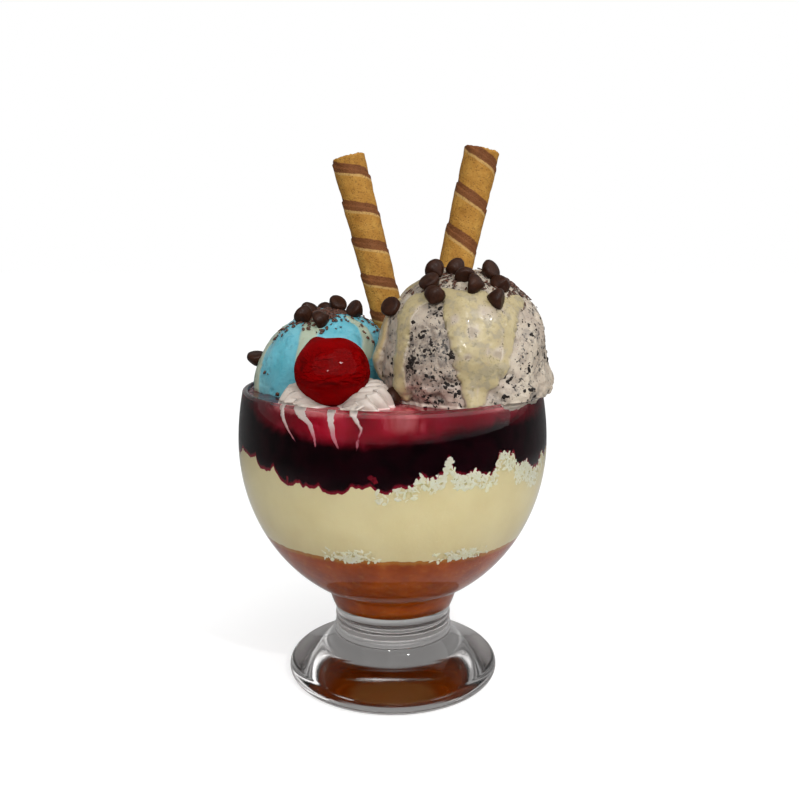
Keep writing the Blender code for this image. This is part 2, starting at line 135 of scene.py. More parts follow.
class Value:
    """A node's output that Python's operators work on: each operation adds a Math node."""

    def __init__(self, nodes, socket):
        self.nodes = nodes
        self.socket = socket

    def maths(self, operation, *others, clamp=False):
        settings = {"operation": operation, "use_clamp": clamp}
        return self.nodes.add("ShaderNodeMath", settings, dict(enumerate([self, *others])))

    def __add__(self, other):
        return self.maths("ADD", other)

    def __sub__(self, other):
        return self.maths("SUBTRACT", other)

    def __mul__(self, other):
        return self.maths("MULTIPLY", other)

    def __truediv__(self, other):
        return self.maths("DIVIDE", other)

    def __rsub__(self, other):
        return self.nodes.number(other) - self

    def __neg__(self):
        return self * -1.0

    __radd__ = __add__
    __rmul__ = __mul__

    def above(self, edge, soft):
        """0 below an edge and 1 above it, over a soft width."""
        return self.nodes.add(
            "ShaderNodeMapRange",
            {"interpolation_type": "SMOOTHSTEP"},
            {"Value": self, "From Min": edge - soft / 2, "From Max": edge + soft / 2},
        )

    def below(self, edge, soft):
        return 1.0 - self.above(edge, soft)


class Nodes:
    """Adds nodes to a shader tree or a geometry tree."""

    def __init__(self, tree):
        self.tree = tree

    def add(self, kind, settings=None, sockets=None, output=0):
        """A node of a type, with its settings first and then the values or links of its sockets."""
        node = self.tree.nodes.new(kind)
        for label, setting in (settings or {}).items():
            if label == "stops":
                self.set_stops(node.color_ramp, setting)
            else:
                setattr(node, label, setting)
        for label, given in (sockets or {}).items():
            self.feed(node.inputs[label], given)
        return Value(self, node.outputs[output])

    def feed(self, socket, given):
        if isinstance(given, Value):
            self.tree.links.new(given.socket, socket)
        elif isinstance(given, tuple) and socket.type == "RGBA":
            socket.default_value = (*given, 1.0)
        else:
            socket.default_value = given

    @staticmethod
    def set_stops(ramp, stops):
        while len(ramp.elements) < len(stops):
            ramp.elements.new(0.5)
        for element, (place, colour) in zip(ramp.elements, stops):
            element.position = place
            element.color = (*colour, 1.0)

    def number(self, given):
        made = self.add("ShaderNodeValue")
        made.socket.default_value = given
        return made

    def ramp(self, value, *stops):
        return self.add("ShaderNodeValToRGB", {"stops": stops}, {"Fac": value})

    def mix(self, share, first, second, blend="MIX"):
        """A colour between two colours."""
        settings = {"data_type": "RGBA", "blend_type": blend}
        return self.add("ShaderNodeMix", settings, {0: share, 6: first, 7: second}, output=2)

    def place(self):
        return self.add("ShaderNodeTexCoord", output="Object")

    def split(self, vector):
        return [self.add("ShaderNodeSeparateXYZ", None, {0: vector}, output=axis) for axis in range(3)]

    def stretched(self, scale):
        return self.add("ShaderNodeMapping", None, {"Vector": self.place(), "Scale": scale})

    def cloud(self, size, detail=3.0, roughness=0.5, vector=None, distortion=0.0):
        """Noise from 0 to 1 whose blotches are about a size across, in metres."""
        sockets = {
            "Vector": vector or self.place(),
            "Scale": 1 / size,
            "Detail": detail,
            "Roughness": roughness,
            "Distortion": distortion,
        }
        return self.add("ShaderNodeTexNoise", None, sockets)

    def cells(self, size, vector=None, randomness=1.0, feature="F1"):
        """Distance to the nearest of scattered points about a size apart, in cell widths."""
        sockets = {"Vector": vector or self.place(), "Scale": 1 / size, "Randomness": randomness}
        return self.add("ShaderNodeTexVoronoi", {"feature": feature}, sockets)

    def attribute(self, name):
        return self.add("ShaderNodeAttribute", {"attribute_name": name}, output="Fac")

    def bump(self, height, depth, strength=1.0, under=None):
        """A normal from a height of 0 to 1 over a depth in metres."""
        sockets = {"Height": height, "Distance": depth, "Strength": strength}
        if under:
            sockets["Normal"] = under
        return self.add("ShaderNodeBump", None, sockets)


def finish(name, constants, paint=None):
    """A Principled material: constants go on its sockets, paint(nodes) gives what varies over the surface."""
    material = bpy.data.materials.new(name)
    material.use_nodes = True
    nodes = Nodes(material.node_tree)
    shader = material.node_tree.nodes["Principled BSDF"]
    for label, given in constants.items():
        nodes.feed(shader.inputs[label], given)
    for label, given in (paint(nodes) if paint else {}).items():
        nodes.feed(shader.inputs[label], given)
    return material


# ---------------------------------------------------------------- shapes


def new_piece(name, mesh, material=None, sharp=None):
    made = bpy.data.objects.new(name, mesh)
    bpy.context.scene.collection.objects.link(made)
    if material:
        mesh.materials.append(material)
    mesh.shade_smooth()
    if sharp:
        mesh.set_sharp_from_angle(angle=math.radians(sharp))
    return made


def closed_surface(name, rings, low_pole, high_pole, **values):
    """A closed mesh from rings of points that run anticlockwise and climb, with a pole at either end.

    rings has the shape (rings, points, 3). values are named attributes with a number for each ring point.
    """
    count, around = rings.shape[:2]
    grid = np.arange(count * around).reshape(count, around)
    beside = np.roll(grid, -1, axis=1)
    quads = np.stack([grid[:-1], beside[:-1], beside[1:], grid[1:]], axis=-1).reshape(-1, 4)
    low = count * around
    high = low + 1
    fans = [(low, b, a) for a, b in zip(grid[0].tolist(), beside[0].tolist())]
    fans += [(high, a, b) for a, b in zip(grid[-1].tolist(), beside[-1].tolist())]
    points = np.concatenate([rings.reshape(-1, 3), [low_pole, high_pole]])
    mesh = bpy.data.meshes.new(name)
    mesh.from_pydata(points.tolist(), [], quads.tolist() + fans)
    for label, numbers in values.items():
        flat = np.concatenate([numbers.ravel(), [numbers[0].mean(), numbers[-1].mean()]])
        layer = mesh.attributes.new(label, "FLOAT", "POINT")
        layer.data.foreach_set("value", flat.astype(np.float32))
    return mesh


def ring(azimuths, radius, height):
    """Points round the Z axis; radius and height may be arrays."""
    radius = np.broadcast_to(radius, azimuths.shape)
    height = np.broadcast_to(height, azimuths.shape)
    return np.stack([radius * np.cos(azimuths), radius * np.sin(azimuths), height], axis=-1)


def around(count):
    return np.arange(count) * TURN / count


def roughness_at(points, size, shift=0.0, octaves=1):
    """Noise from about -1 to 1 at each point, with lumps about a size across."""
    flat = points.reshape(-1, 3) / size + shift
    values = [noise.fractal(Vector(point), 1.0, 2.0, octaves) for point in flat.tolist()]
    return np.array(values).reshape(points.shape[:-1])


def smooth(value):
    """0 below 0, 1 above 1 and a smooth step between."""
    value = np.clip(value, 0.0, 1.0)
    return value * value * (3 - 2 * value)


def apart(azimuths, middle):
    """Signed angle from a direction given in degrees."""
    return (azimuths - math.radians(middle) + math.pi) % TURN - math.pi


def direction(azimuth, elevation):
    flat = math.cos(math.radians(elevation))
    turn = math.radians(azimuth)
    return Vector((flat * math.cos(turn), flat * math.sin(turn), math.sin(math.radians(elevation))))


# ---------------------------------------------------------------- glass


def glass_radius(height):
    rise = height - BELLY_HEIGHT
    if rise >= 0:
        return BELLY_RADIUS - RIM_CLOSING * rise * rise
    return BELLY_RADIUS * math.sqrt(1 - (rise / BOWL_DEPTH) ** 2)


def cavity_radius(height):
    """Inside radius of the bowl, for an array of heights or one."""
    rise = height - BELLY_HEIGHT
    over = CAVITY_RADIUS - CAVITY_CLOSING * rise * rise
    level = np.maximum(height, WELL_TOP) - BELLY_HEIGHT
    ellipse = CAVITY_RADIUS * np.sqrt(1 - (level / CAVITY_DEPTH) ** 2)
    depth = np.clip((WELL_TOP - height) / (WELL_TOP - WELL_FLOOR), 0.0, 1.0)
    return np.where(rise >= 0, over, ellipse * (1 - depth**3) ** (1 / 3))


def flowing(points, steps):
    """A smooth curve through (radius, height) points."""
    ends = [points[0], *points, points[-1]]
    for a, b, c, d in zip(ends, ends[1:], ends[2:], ends[3:]):
        for step in range(steps):
            t = step / steps
            yield tuple(
                0.5 * (2 * q + (r - p) * t + (2 * p - 5 * q + 4 * r - s) * t**2 + (3 * q - p - 3 * r + s) * t**3)
                for p, q, r, s in zip(a, b, c, d)
            )


def glass_outline():
    """From the middle of the foot's underside up the outside, over the rim and down to the well's floor."""
    edge_centre = FOOT_RADIUS - FOOT_EDGE
    outline = [(edge_centre * share, 0.0) for share in (0.35, 0.7, 0.95)]
    for step in range(13):
        angle = math.radians(-90 + 170 * step / 12)
        outline.append((edge_centre + FOOT_EDGE * math.cos(angle), FOOT_EDGE * (1 + math.sin(angle))))
    neck = [outline[-1]] + [(radius * MM, height * MM) for radius, height in NECK_OUTLINE]
    neck.append((glass_radius(NECK_TOP), NECK_TOP))
    for radius, height in list(flowing(neck, 8))[1:]:
        swell = sum(math.exp(-(((height - at) / (0.7 * MM)) ** 2)) for at in NECK_RINGS)
        outline.append((radius + 0.22 * MM * swell, height))
    rim_centre = RIM_TOP - RIM_BEAD
    rim_radius = glass_radius(rim_centre) - RIM_BEAD
    outline += [(glass_radius(z), z) for z in NECK_TOP + (rim_centre - NECK_TOP) * np.linspace(0, 1, 57)[:-1] ** 1.5]
    for step in range(11):
        angle = math.pi * step / 10
        outline.append((rim_radius + RIM_BEAD * math.cos(angle), rim_centre + RIM_BEAD * math.sin(angle)))
    inside = WELL_TOP + (rim_centre - WELL_TOP) * np.linspace(1, 0, 49)[1:] ** 1.5
    well = WELL_FLOOR + (WELL_TOP - WELL_FLOOR) * np.linspace(1, 0, 12)[1:-1] ** 3
    outline += [(float(cavity_radius(z)), z) for z in [*inside, *well]]
    return outline


def make_glass():
    azimuths = around(160)
    rings = np.array([ring(azimuths, radius, height) for radius, height in glass_outline()])
    mesh = closed_surface("glass_bowl", rings, (0, 0, 0), (0, 0, WELL_FLOOR))
    constants = {
        "IOR": 1.5,
        "Transmission Weight": 1.0,
        "Specular Tint": (0.15, 0.15, 0.15),
    }

    def paint(nodes):
        streaks = nodes.cloud(30 * MM, 2.0, vector=nodes.stretched((1.0, 1.0, 0.35)))
        height = nodes.split(nodes.place())[2]
        foot = height.below(WELL_FLOOR, 3 * MM)
        colour = nodes.mix(foot, (0.955, 0.965, 0.96), (0.50, 0.485, 0.475))
        colour = nodes.mix(height.below(8 * MM, 4 * MM), colour, (0.90, 0.88, 0.87))
        return {"Base Color": colour, "Roughness": foot * 0.07, "Normal": nodes.bump(streaks, 0.12 * MM, 0.35)}

    glass = new_piece("glass_bowl", mesh, finish("moulded_glass", constants, paint), sharp=70)
    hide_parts("glass")
    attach(glass, BODY)
    return glass


# ---------------------------------------------------------------- fillings


LAYER_POINTS = 720


def puree_edge(azimuths):
    """Where the puree meets the cream at the wall."""
    level = PUREE_LEVEL + 0.8 * MM * np.sin(azimuths - 0.4) + 0.4 * MM * np.sin(3 * azimuths)
    wall = ring(azimuths, CAVITY_RADIUS, 0.0)
    return level + 0.45 * MM * roughness_at(wall, 9 * MM, 3.0, 3) + 0.3 * MM * roughness_at(wall, 2.2 * MM, 5.0, 2)


def berry_edge(azimuths):
    """Lower edge of the berry sauce at the wall: rounded lobes and thin runs, with points of cream between them."""
    dice = random.Random(4)
    lobes = list(FRONT_LOBES)
    at = 2.0
    while at < 196:
        lobes.append((at, 84.6 + dice.uniform(-3.2, 2.6), dice.uniform(4, 7)))
        at += dice.uniform(7, 12)
    runs = [(middle + dice.uniform(-4, 4), height + dice.uniform(0.2, 2.4), dice.uniform(0.9, 2.2)) for middle, height, _ in lobes]
    edge = np.full(azimuths.shape, 89.8 * MM)
    for middle, height, width in lobes + runs:
        away = np.abs(apart(azimuths, middle)) / math.radians(width)
        edge = np.minimum(edge, height * MM + 1.9 * MM * away**2.6)
    wall = ring(azimuths, CAVITY_RADIUS, 0.0)
    return edge + 1.0 * MM * roughness_at(wall, 4 * MM, 1.0, 4) + 0.55 * MM * roughness_at(wall, 1.3 * MM, 2.0, 2)


def crimson_edge(azimuths):
    level = np.full(azimuths.shape, CRIMSON_LEVEL)
    for middle, rise, width in CRIMSON_WAVES:
        level = level + rise * MM * np.exp(-((apart(azimuths, middle) / math.radians(width)) ** 2))
    return level


def make_layer(name, low, high, reach, climb, material, top=None, **values):
    """A filling between two surfaces given as heights for each azimuth.

    climb lists the shares of the height where the wall has rings. top(points) gives its upper face's relief.
    values are functions of azimuths and heights, kept as attributes.
    """
    azimuths = around(LAYER_POINTS)
    rings = []
    for share in (0.5, 0.97):
        rings.append(ring(azimuths, (cavity_radius(low) + reach) * share, low))
    for share in climb:
        height = low + (high - low) * share
        rings.append(ring(azimuths, cavity_radius(height) + reach, height))
    for share in (0.985, 0.96, 0.9, 0.8, 0.65, 0.45, 0.25, 0.08):
        points = ring(azimuths, (cavity_radius(high) + reach) * share, high)
        if top:
            points[:, 2] += top(points) * min(1.0, (1 - share) * 12)
        rings.append(points)
    rings = np.array(rings)
    numbers = {label: work(azimuths[None, :], rings[..., 2]) for label, work in values.items()}
    mesh = closed_surface(name, rings, (0, 0, low.mean()), (0, 0, high.mean()), **numbers)
    return new_piece(name, mesh, material, sharp=55)


# Where the cream has curdled: azimuth and half-width in degrees, depth of the band in mm.
UPPER_CURDS = [(-66, 22, 4.5), (-36, 16, 6.0), (48, 26, 4.5), (150, 18, 3.5)]
LOWER_CURDS = [(-106, 9, 4.0), (-61, 10, 3.4), (20, 14, 3.5), (110, 20, 3.0)]


def curdled(azimuth, height, berry_low, puree_top):
    """How curdled the cream is, from 0 to 1: in bands under the berry sauce and over the puree."""
    share = 0.0
    for zones, away in ((UPPER_CURDS, berry_low - height), (LOWER_CURDS, height - puree_top)):
        for middle, width, depth in zones:
            beside = np.exp(-((apart(azimuth, middle) / math.radians(width)) ** 4))
            share = np.maximum(share, beside * smooth(1.25 - away / (depth * MM)))
    return share


def puree_finish():
    def paint(nodes):
        mottle = nodes.cloud(7 * MM, 4.0, 0.6)
        pulp = nodes.cloud(1.6 * MM, 3.0, 0.6)
        colour = nodes.ramp(mottle, (0.3, (0.30, 0.045, 0.001)), (0.52, (0.41, 0.070, 0.002)), (0.75, (0.53, 0.11, 0.006)))
        colour = nodes.mix(pulp.above(0.62, 0.12) * 0.25, colour, (0.68, 0.26, 0.04))
        colour = nodes.mix(nodes.attribute("rim").below(1.2, 1.6) * 0.5, colour, (0.60, 0.32, 0.06))
        sole = nodes.split(nodes.place())[2].below(WELL_FLOOR + 0.9 * MM, 0.8 * MM)
        colour = nodes.mix(sole * 0.9, colour, (0.52, 0.20, 0.055))
        return {"Base Color": colour, "Normal": nodes.bump(pulp, 0.3 * MM, 0.5)}

    constants = {"Roughness": 0.5, "Subsurface Weight": 0.25, "Subsurface Radius": (1.0, 0.45, 0.15)}
    constants["Specular IOR Level"] = 0.0
    constants["Subsurface Scale"] = 3 * MM
    return finish("orange_puree", constants, paint)


def cream_finish():
    def paint(nodes):
        mottle = nodes.cloud(14 * MM, 3.0, 0.5)
        grain = nodes.cloud(1.1 * MM, 3.0, 0.6)
        colour = nodes.ramp(mottle, (0.3, (0.80, 0.69, 0.39)), (0.7, (0.87, 0.77, 0.47)))
        colour = nodes.mix(grain.above(0.66, 0.1) * 0.3, colour, (0.88, 0.80, 0.56))
        # Painted shade: darker olive lines between the curds in the curdled bands, where the curds shade the cream.
        cracks = nodes.cloud(1.8 * MM, 3.0, 0.6, distortion=0.8).above(0.52, 0.1)
        colour = nodes.mix(nodes.attribute("curdled") * cracks * 0.8, colour, (0.50, 0.42, 0.17))
        return {"Base Color": colour, "Normal": nodes.bump(grain, 0.15 * MM, 0.5)}

    constants = {"Roughness": 0.5, "Subsurface Weight": 0.2, "Subsurface Radius": (1.0, 0.8, 0.5)}
    constants["Specular IOR Level"] = 0.0
    constants["Subsurface Scale"] = 2 * MM
    return finish("pale_cream", constants, paint)


def berry_finish():
    def paint(nodes):
        swirl = nodes.cloud(6 * MM, 4.0, 0.6, distortion=0.8)
        fine = nodes.cloud(1.5 * MM, 3.0, 0.6)
        dark = nodes.ramp(swirl, (0.35, (0.003, 0.0005, 0.0012)), (0.7, (0.012, 0.0010, 0.0030)))
        dull = nodes.ramp(swirl, (0.3, (0.040, 0.0015, 0.004)), (0.7, (0.115, 0.004, 0.010)))
        vivid = nodes.ramp(swirl, (0.3, (0.24, 0.002, 0.008)), (0.5, (0.42, 0.006, 0.022)), (0.75, (0.62, 0.03, 0.07)))
        crimson = nodes.mix(nodes.attribute("vivid"), dull, vivid)
        lift = nodes.attribute("lift") + (swirl - 0.5) * 3.0
        colour = nodes.mix(lift.above(1.2, 5.0), dark, crimson)
        pink = nodes.attribute("pink") + (swirl - 0.5) * 0.8
        colour = nodes.mix(pink.above(0.5, 0.6), colour, (0.58, 0.15, 0.16))
        edge = nodes.attribute("edge") + (fine - 0.5) * 1.0
        colour = nodes.mix(edge.below(0.9, 1.2), colour, (0.24, 0.010, 0.025))
        wet = nodes.split(nodes.place())[2].above(SAUCE_LEVEL - 0.6 * MM, 0.4 * MM)
        return {"Base Color": colour, "Coat Weight": wet * 0.8, "Normal": nodes.bump(fine, 0.2 * MM, 0.35)}

    return finish("berry_sauce", {"Roughness": 0.3, "Specular IOR Level": 0.0, "Coat Roughness": 0.1}, paint)


def make_layers():
    azimuths = around(LAYER_POINTS)
    puree_top = puree_edge(azimuths)
    berry_low = berry_edge(azimuths)
    floor = np.full(azimuths.shape, WELL_FLOOR)
    puree = make_layer(
        "puree_filling",
        floor,
        puree_top,
        INTO_WALL + 0.06 * MM,
        np.concatenate([np.linspace(0, 1, 14) ** 3 * 0.24, np.linspace(0.28, 0.94, 16), (0.96, 0.98, 1.0)]),
        puree_finish(),
        rim=lambda azimuth, height: (puree_top[None, :] - height) / MM,
    )
    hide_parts("fruit_puree")
    cream = make_layer(
        "cream_filling",
        puree_top - 2.0 * MM,
        np.minimum(berry_low + 3.0 * MM, 92 * MM),
        INTO_WALL,
        np.linspace(0, 1, 36),
        cream_finish(),
        curdled=lambda azimuth, height: curdled(azimuth, height, berry_low[None, :], puree_top[None, :]),
    )
    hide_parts("cream_layer")
    crimson = crimson_edge(azimuths)

    def pinkness(azimuth, height):
        """Berry sauce mixed with cream: under the cookie scoop's skirt and beside the rosette."""
        skirt = 0.72 * np.exp(-((apart(azimuth, -42) / math.radians(15)) ** 2))
        rosette = 0.85 * np.exp(-((apart(azimuth, -122) / math.radians(17)) ** 2))
        beside = 0.6 * np.exp(-((apart(azimuth, -86) / math.radians(7)) ** 2))
        high = smooth((height - 100.5 * MM) / (4 * MM))
        return np.maximum(np.maximum(skirt, rosette) * high, beside * smooth((height - 95 * MM) / (6 * MM)))

    berry = make_layer(
        "berry_filling",
        berry_low,
        np.full(azimuths.shape, SAUCE_LEVEL + 0.4 * MM),
        INTO_WALL + 0.06 * MM,
        np.linspace(0, 1, 30) ** 1.6,
        berry_finish(),
        top=lambda points: 0.7 * MM * roughness_at(points, 9 * MM, 8.0, 2) - 0.5 * MM,
        edge=lambda azimuth, height: (height - berry_low[None, :]) / MM,
        lift=lambda azimuth, height: (height - crimson[None, :]) / MM,
        pink=pinkness,
        vivid=lambda azimuth, height: np.minimum(
            1.0, sum(peak * np.exp(-((apart(azimuth, at) / math.radians(width)) ** 2)) for at, peak, width in VIVID_SPOTS)
        )
        + 0 * height,
    )
    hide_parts("berry_layer")
    for layer in (puree, cream, berry):
        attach(layer, BODY)
    return berry_low, puree_top


# ---------------------------------------------------------------- scoops


class Scoop:
    """A ball of ice cream: the solid's lumps with finer relief, kept clear of the glass wall."""

    def __init__(self, centre, radius, lumps, swell, shift, crags):
        self.centre = np.array(centre)
        self.radius = radius
        self.lumps = lumps
        self.swell = swell
        self.shift = shift
        self.crags = crags

    def reach(self, headings, rough):
        """Distance from the centre along unit vectors."""
        base = [noise.noise(Vector(h) * 2.3 + Vector((self.shift, 0, 0))) for h in headings.reshape(-1, 3).tolist()]
        reach = self.radius + self.swell * np.array(base).reshape(headings.shape[:-1])
        for azimuth, elevation, height, spread in self.lumps:
            cosine = np.clip(headings @ np.array(direction(azimuth, elevation)), -1, 1)
            reach = reach + height * MM * np.exp(-((np.arccos(cosine) / math.radians(spread)) ** 2))
        return reach + self.crags(headings) * rough

    def points(self, headings, thickness=0.0, rough=1.0):
        """Surface points, raised by a thickness and wrapped round the rim; rough scales the finer relief."""
        points = self.centre + headings * (self.reach(headings, rough) + thickness)[..., None]
        points[..., 2] = np.maximum(points[..., 2], SCOOP_BASE)
        spread = np.hypot(points[..., 0], points[..., 1])
        limit = cavity_radius(np.minimum(points[..., 2], RIM_TOP)) - 0.5 * MM
        over = spread - limit
        under = RIM_TOP + 0.25 * MM - points[..., 2]
        caught = (over > 0) & (under > 0)
        lifted = caught & (over > under * 1.4)
        pulled = caught & ~lifted
        points[..., 2] = np.where(lifted, RIM_TOP + 0.25 * MM, points[..., 2])
        shrink = np.where(pulled, limit / spread, 1.0)
        points[..., 0] *= shrink
        points[..., 1] *= shrink
        return points

    @staticmethod
    def headings(rings, around_count):
        elevations = np.radians(np.linspace(-90, 90, rings + 2)[1:-1])[:, None]
        azimuths = around(around_count)[None, :]
        flat = np.cos(elevations)
        up = np.broadcast_to(np.sin(elevations), (rings, around_count))
        return np.stack([flat * np.cos(azimuths), flat * np.sin(azimuths), up], axis=-1)

    def mesh(self, name, rings, around_count, **values):
        headings = self.headings(rings, around_count)
        points = self.points(headings)
        poles = self.points(np.array([(0.0, 0.0, -1.0), (0.0, 0.0, 1.0)]))
        numbers = {label: work(headings) for label, work in values.items()}
        return closed_surface(name, points, poles[0], poles[1], **numbers)


# Thin milk sauce that has soaked into the blue scoop, given as the streams on the other scoop are.
BLUE_STREAMS = [
    [(-163, 50, 2.2), (-163, 30, 2.6), (-157, 15, 2.8), (-158, -1, 2.6), (-157, -14, 2.0)],
    [(-110, 72, 4.0), (-104, 60, 4.2), (-105, 50, 3.8), (-106, 36, 3.0), (-108, 22, 2.0)],
    [(-50, 62, 1.8), (-42, 50, 2.4), (-46, 36, 2.8), (-53, 26, 2.4)],
    [(150, 60, 3.0), (120, 45, 3.0), (110, 25, 2.4), (108, 8, 2.0)],
    [(40, 62, 3.0), (50, 40, 2.4), (52, 26, 2.0)],
]


def stream_cover(headings, radius, stream):
    """1 along a stream's middle, 0 at its edges and negative beyond."""
    cover = np.full(headings.shape[:-1], -9.0)
    for (azimuth, elevation, width), (next_azimuth, next_elevation, next_width) in zip(stream, stream[1:]):
        start = np.array(direction(azimuth, elevation))
        line = np.array(direction(next_azimuth, next_elevation)) - start
        share = np.clip((headings - start) @ line / (line @ line), 0.0, 1.0)
        away = np.linalg.norm(headings - start - share[..., None] * line, axis=-1) * radius / MM
        cover = np.maximum(cover, 1 - (away / (width + (next_width - width) * share)) ** 2)
    return cover


def cookie_crags(headings):
    """Rough, torn ice cream: soft lumps, small pits and a coarser skirt low down."""
    lumps = 0.55 * MM * roughness_at(headings, 0.32, 1.0, 3)
    pits = roughness_at(headings, 0.10, 4.0, 2)
    low = smooth((0.05 - headings[..., 2]) / 0.35)
    torn = roughness_at(headings, 0.17, 7.0, 3)
    return lumps - 0.5 * MM * smooth((pits - 0.25) / 0.4) + low * 1.2 * MM * torn


def milk_cover(headings):
    """How much thin milk sauce lies on the blue scoop, from 0 to 1 with soft edges."""
    cover = np.max([stream_cover(headings, BLUE_RADIUS, stream) for stream in BLUE_STREAMS], axis=0)
    return smooth((cover + 0.5) / 1.3)


def blue_crags(headings):
    """Smooth, half melted ice cream with slow waves, and a thin sauce that stands a little proud."""
    waves = 0.45 * MM * roughness_at(headings * np.array((1.0, 1.0, 0.45)), 0.28, 2.0, 2)
    pits = smooth((roughness_at(headings, 0.08, 3.0, 2) - 0.30) / 0.3)
    return waves - 0.28 * MM * pits + 0.3 * MM * milk_cover(headings)


COOKIE = Scoop(COOKIE_CENTRE, COOKIE_RADIUS, COOKIE_LUMPS, 1.6 * MM, 4.0, cookie_crags)
BLUE = Scoop(BLUE_CENTRE, BLUE_RADIUS, BLUE_LUMPS, 1.0 * MM, 9.0, blue_crags)


def cookie_colour(nodes):
    """Pale ice cream with greyish clouds, black biscuit specks and small brown ones; darker on its lower left side, and
    paler below the rim as painted light.
    """
    soft = nodes.cloud(9 * MM, 4.0, 0.6)
    colour = nodes.ramp(soft, (0.3, (0.31, 0.25, 0.20)), (0.5, (0.38, 0.32, 0.25)), (0.7, (0.46, 0.40, 0.32)))
    blush = nodes.split(nodes.place())[2].below(112 * MM, 16 * MM) * nodes.split(nodes.place())[0].below(22 * MM, 22 * MM)
    colour = nodes.mix(blush * 0.6, colour, (0.42, 0.26, 0.23))
    patches = nodes.cloud(6 * MM, 3.0, 0.6, distortion=0.6).above(0.52, 0.22)
    haze = nodes.cloud(2.6 * MM, 3.0, 0.6).above(0.50, 0.22)
    across, height = nodes.split(nodes.place())[0], nodes.split(nodes.place())[2]
    # Darker, in grey clouds, on the scoop's lower left side: between 3 and 20 mm across and below 132 mm.
    lower_left_darkening = across.below(20 * MM, 9 * MM) * across.above(3 * MM, 5 * MM) * height.below(132 * MM, 12 * MM)
    colour = nodes.mix((haze * 0.55 + 0.28) * lower_left_darkening, colour, (0.16, 0.125, 0.10))
    colour = nodes.mix(patches * haze * 0.65, colour, (0.11, 0.095, 0.085))
    specks = nodes.cloud(0.95 * MM, 2.0, 0.55)
    dark = (specks + patches * 0.14 + lower_left_darkening * 0.03 - 0.06).above(0.635, 0.06)
    colour = nodes.mix(dark * 0.9, colour, (0.010, 0.008, 0.007))
    tiny = nodes.cloud(0.45 * MM, 1.0, 0.5).above(0.72, 0.05)
    colour = nodes.mix(tiny * 0.75, colour, (0.15, 0.07, 0.035))
    # Painted light: paler where the scoop lies below the rim, inside the glass, standing in for the light the glass
    # holds back.
    return nodes.mix(height.below(RIM_TOP - 0.8 * MM, 0.8 * MM) * 0.75, colour, (0.90, 0.80, 0.68))


def cookie_finish():
    def paint(nodes):
        fine = nodes.cloud(1.3 * MM, 4.0, 0.65)
        return {"Base Color": cookie_colour(nodes), "Normal": nodes.bump(fine, 0.45 * MM, 0.6)}

    constants = {"Roughness": 0.42, "Subsurface Weight": 0.25, "Subsurface Radius": (1.0, 0.8, 0.6)}
    constants["Subsurface Scale"] = 1.5 * MM
    return finish("cookie_ice_cream", constants, paint)


def blue_finish():
    def paint(nodes):
        soft = nodes.cloud(12 * MM, 3.0, 0.5)
        fine = nodes.cloud(1.8 * MM, 3.0, 0.6)
        colour = nodes.ramp(soft, (0.3, (0.065, 0.29, 0.35)), (0.5, (0.10, 0.34, 0.41)), (0.7, (0.155, 0.385, 0.43)))
        cracks = nodes.cloud(2.4 * MM, 3.0, 0.6, distortion=1.2).above(0.62, 0.08)
        colour = nodes.mix(cracks * 0.4, colour, (0.03, 0.22, 0.31))
        milk = (nodes.attribute("milk") + (soft - 0.5) * 0.5).above(0.5, 0.75)
        colour = nodes.mix(milk * 0.75, colour, (0.38, 0.365, 0.225))
        return {"Base Color": colour, "Normal": nodes.bump(fine, 0.3 * MM, 0.5)}

    constants = {"Roughness": 0.28, "Subsurface Weight": 0.3, "Subsurface Radius": (0.4, 0.8, 1.0)}
    constants["Subsurface Scale"] = 2 * MM
    return finish("blue_ice_cream", constants, paint)


def make_scoops():
    cookie = new_piece("cookie_scoop_ice", COOKIE.mesh("cookie_scoop_ice", 200, 300), cookie_finish())
    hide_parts("scoop_cookie")
    blue = new_piece("blue_scoop_ice", BLUE.mesh("blue_scoop_ice", 180, 270, milk=milk_cover), blue_finish())
    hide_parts("scoop_blue")
    for scoop in (cookie, blue):
        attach(scoop, BODY)
    return cookie, blue


# ---------------------------------------------------------------- rosette and cherry


def whipped_finish():
    def paint(nodes):
        height = nodes.split(nodes.place())[2]
        waves = nodes.cloud(5 * MM, 3.0, 0.5)
        fine = nodes.cloud(1.2 * MM, 2.0, 0.5)
        white = nodes.ramp(waves, (0.3, (0.37, 0.315, 0.275)), (0.7, (0.45, 0.395, 0.345)))
        stained = height / MM + (waves - 0.5) * 7.0
        # Painted light: the cream is paler below the sauce level, inside the glass, standing in for the light the glass
        # holds back.
        white = nodes.mix(height.below(SAUCE_LEVEL + 0.6 * MM, 0.6 * MM), white, (0.80, 0.69, 0.64))
        pink = nodes.mix(stained.below(99.5, 6.0), white, (0.70, 0.20, 0.26))
        colour = nodes.mix(stained.below(94.5, 7.0), pink, (0.40, 0.018, 0.05))
        return {"Base Color": colour, "Normal": nodes.bump(fine, 0.12 * MM, 0.4)}

    constants = {"Roughness": 0.38, "Subsurface Weight": 0.25, "Subsurface Radius": (1.0, 0.75, 0.6)}
    constants["Subsurface Scale"] = 1.5 * MM
    return finish("whipped_cream", constants, paint)


def strip_cover(points):
    """1 where a strip of the rosette touches the glass and 0 away from it."""
    height = points[..., 2]
    azimuth = np.degrees(np.arctan2(points[..., 1], points[..., 0]))
    wave = 0.25 * roughness_at(points, 2.2 * MM, 2.0, 2)
    cover = np.zeros(height.shape)
    for strip in CREAM_STRIPS:
        turns, heights, widths = np.array(strip[::-1]).T
        middle = np.interp(height / MM, heights, turns)
        width = np.interp(height / MM, heights, widths) * smooth((height / MM - heights[0] + 1.5) / 3)
        away = np.abs(np.radians(azimuth - middle)) * CAVITY_RADIUS / MM
        cover = np.maximum(cover, smooth((width * (1 + wave) - away) / 0.5 + 0.5))
    return cover


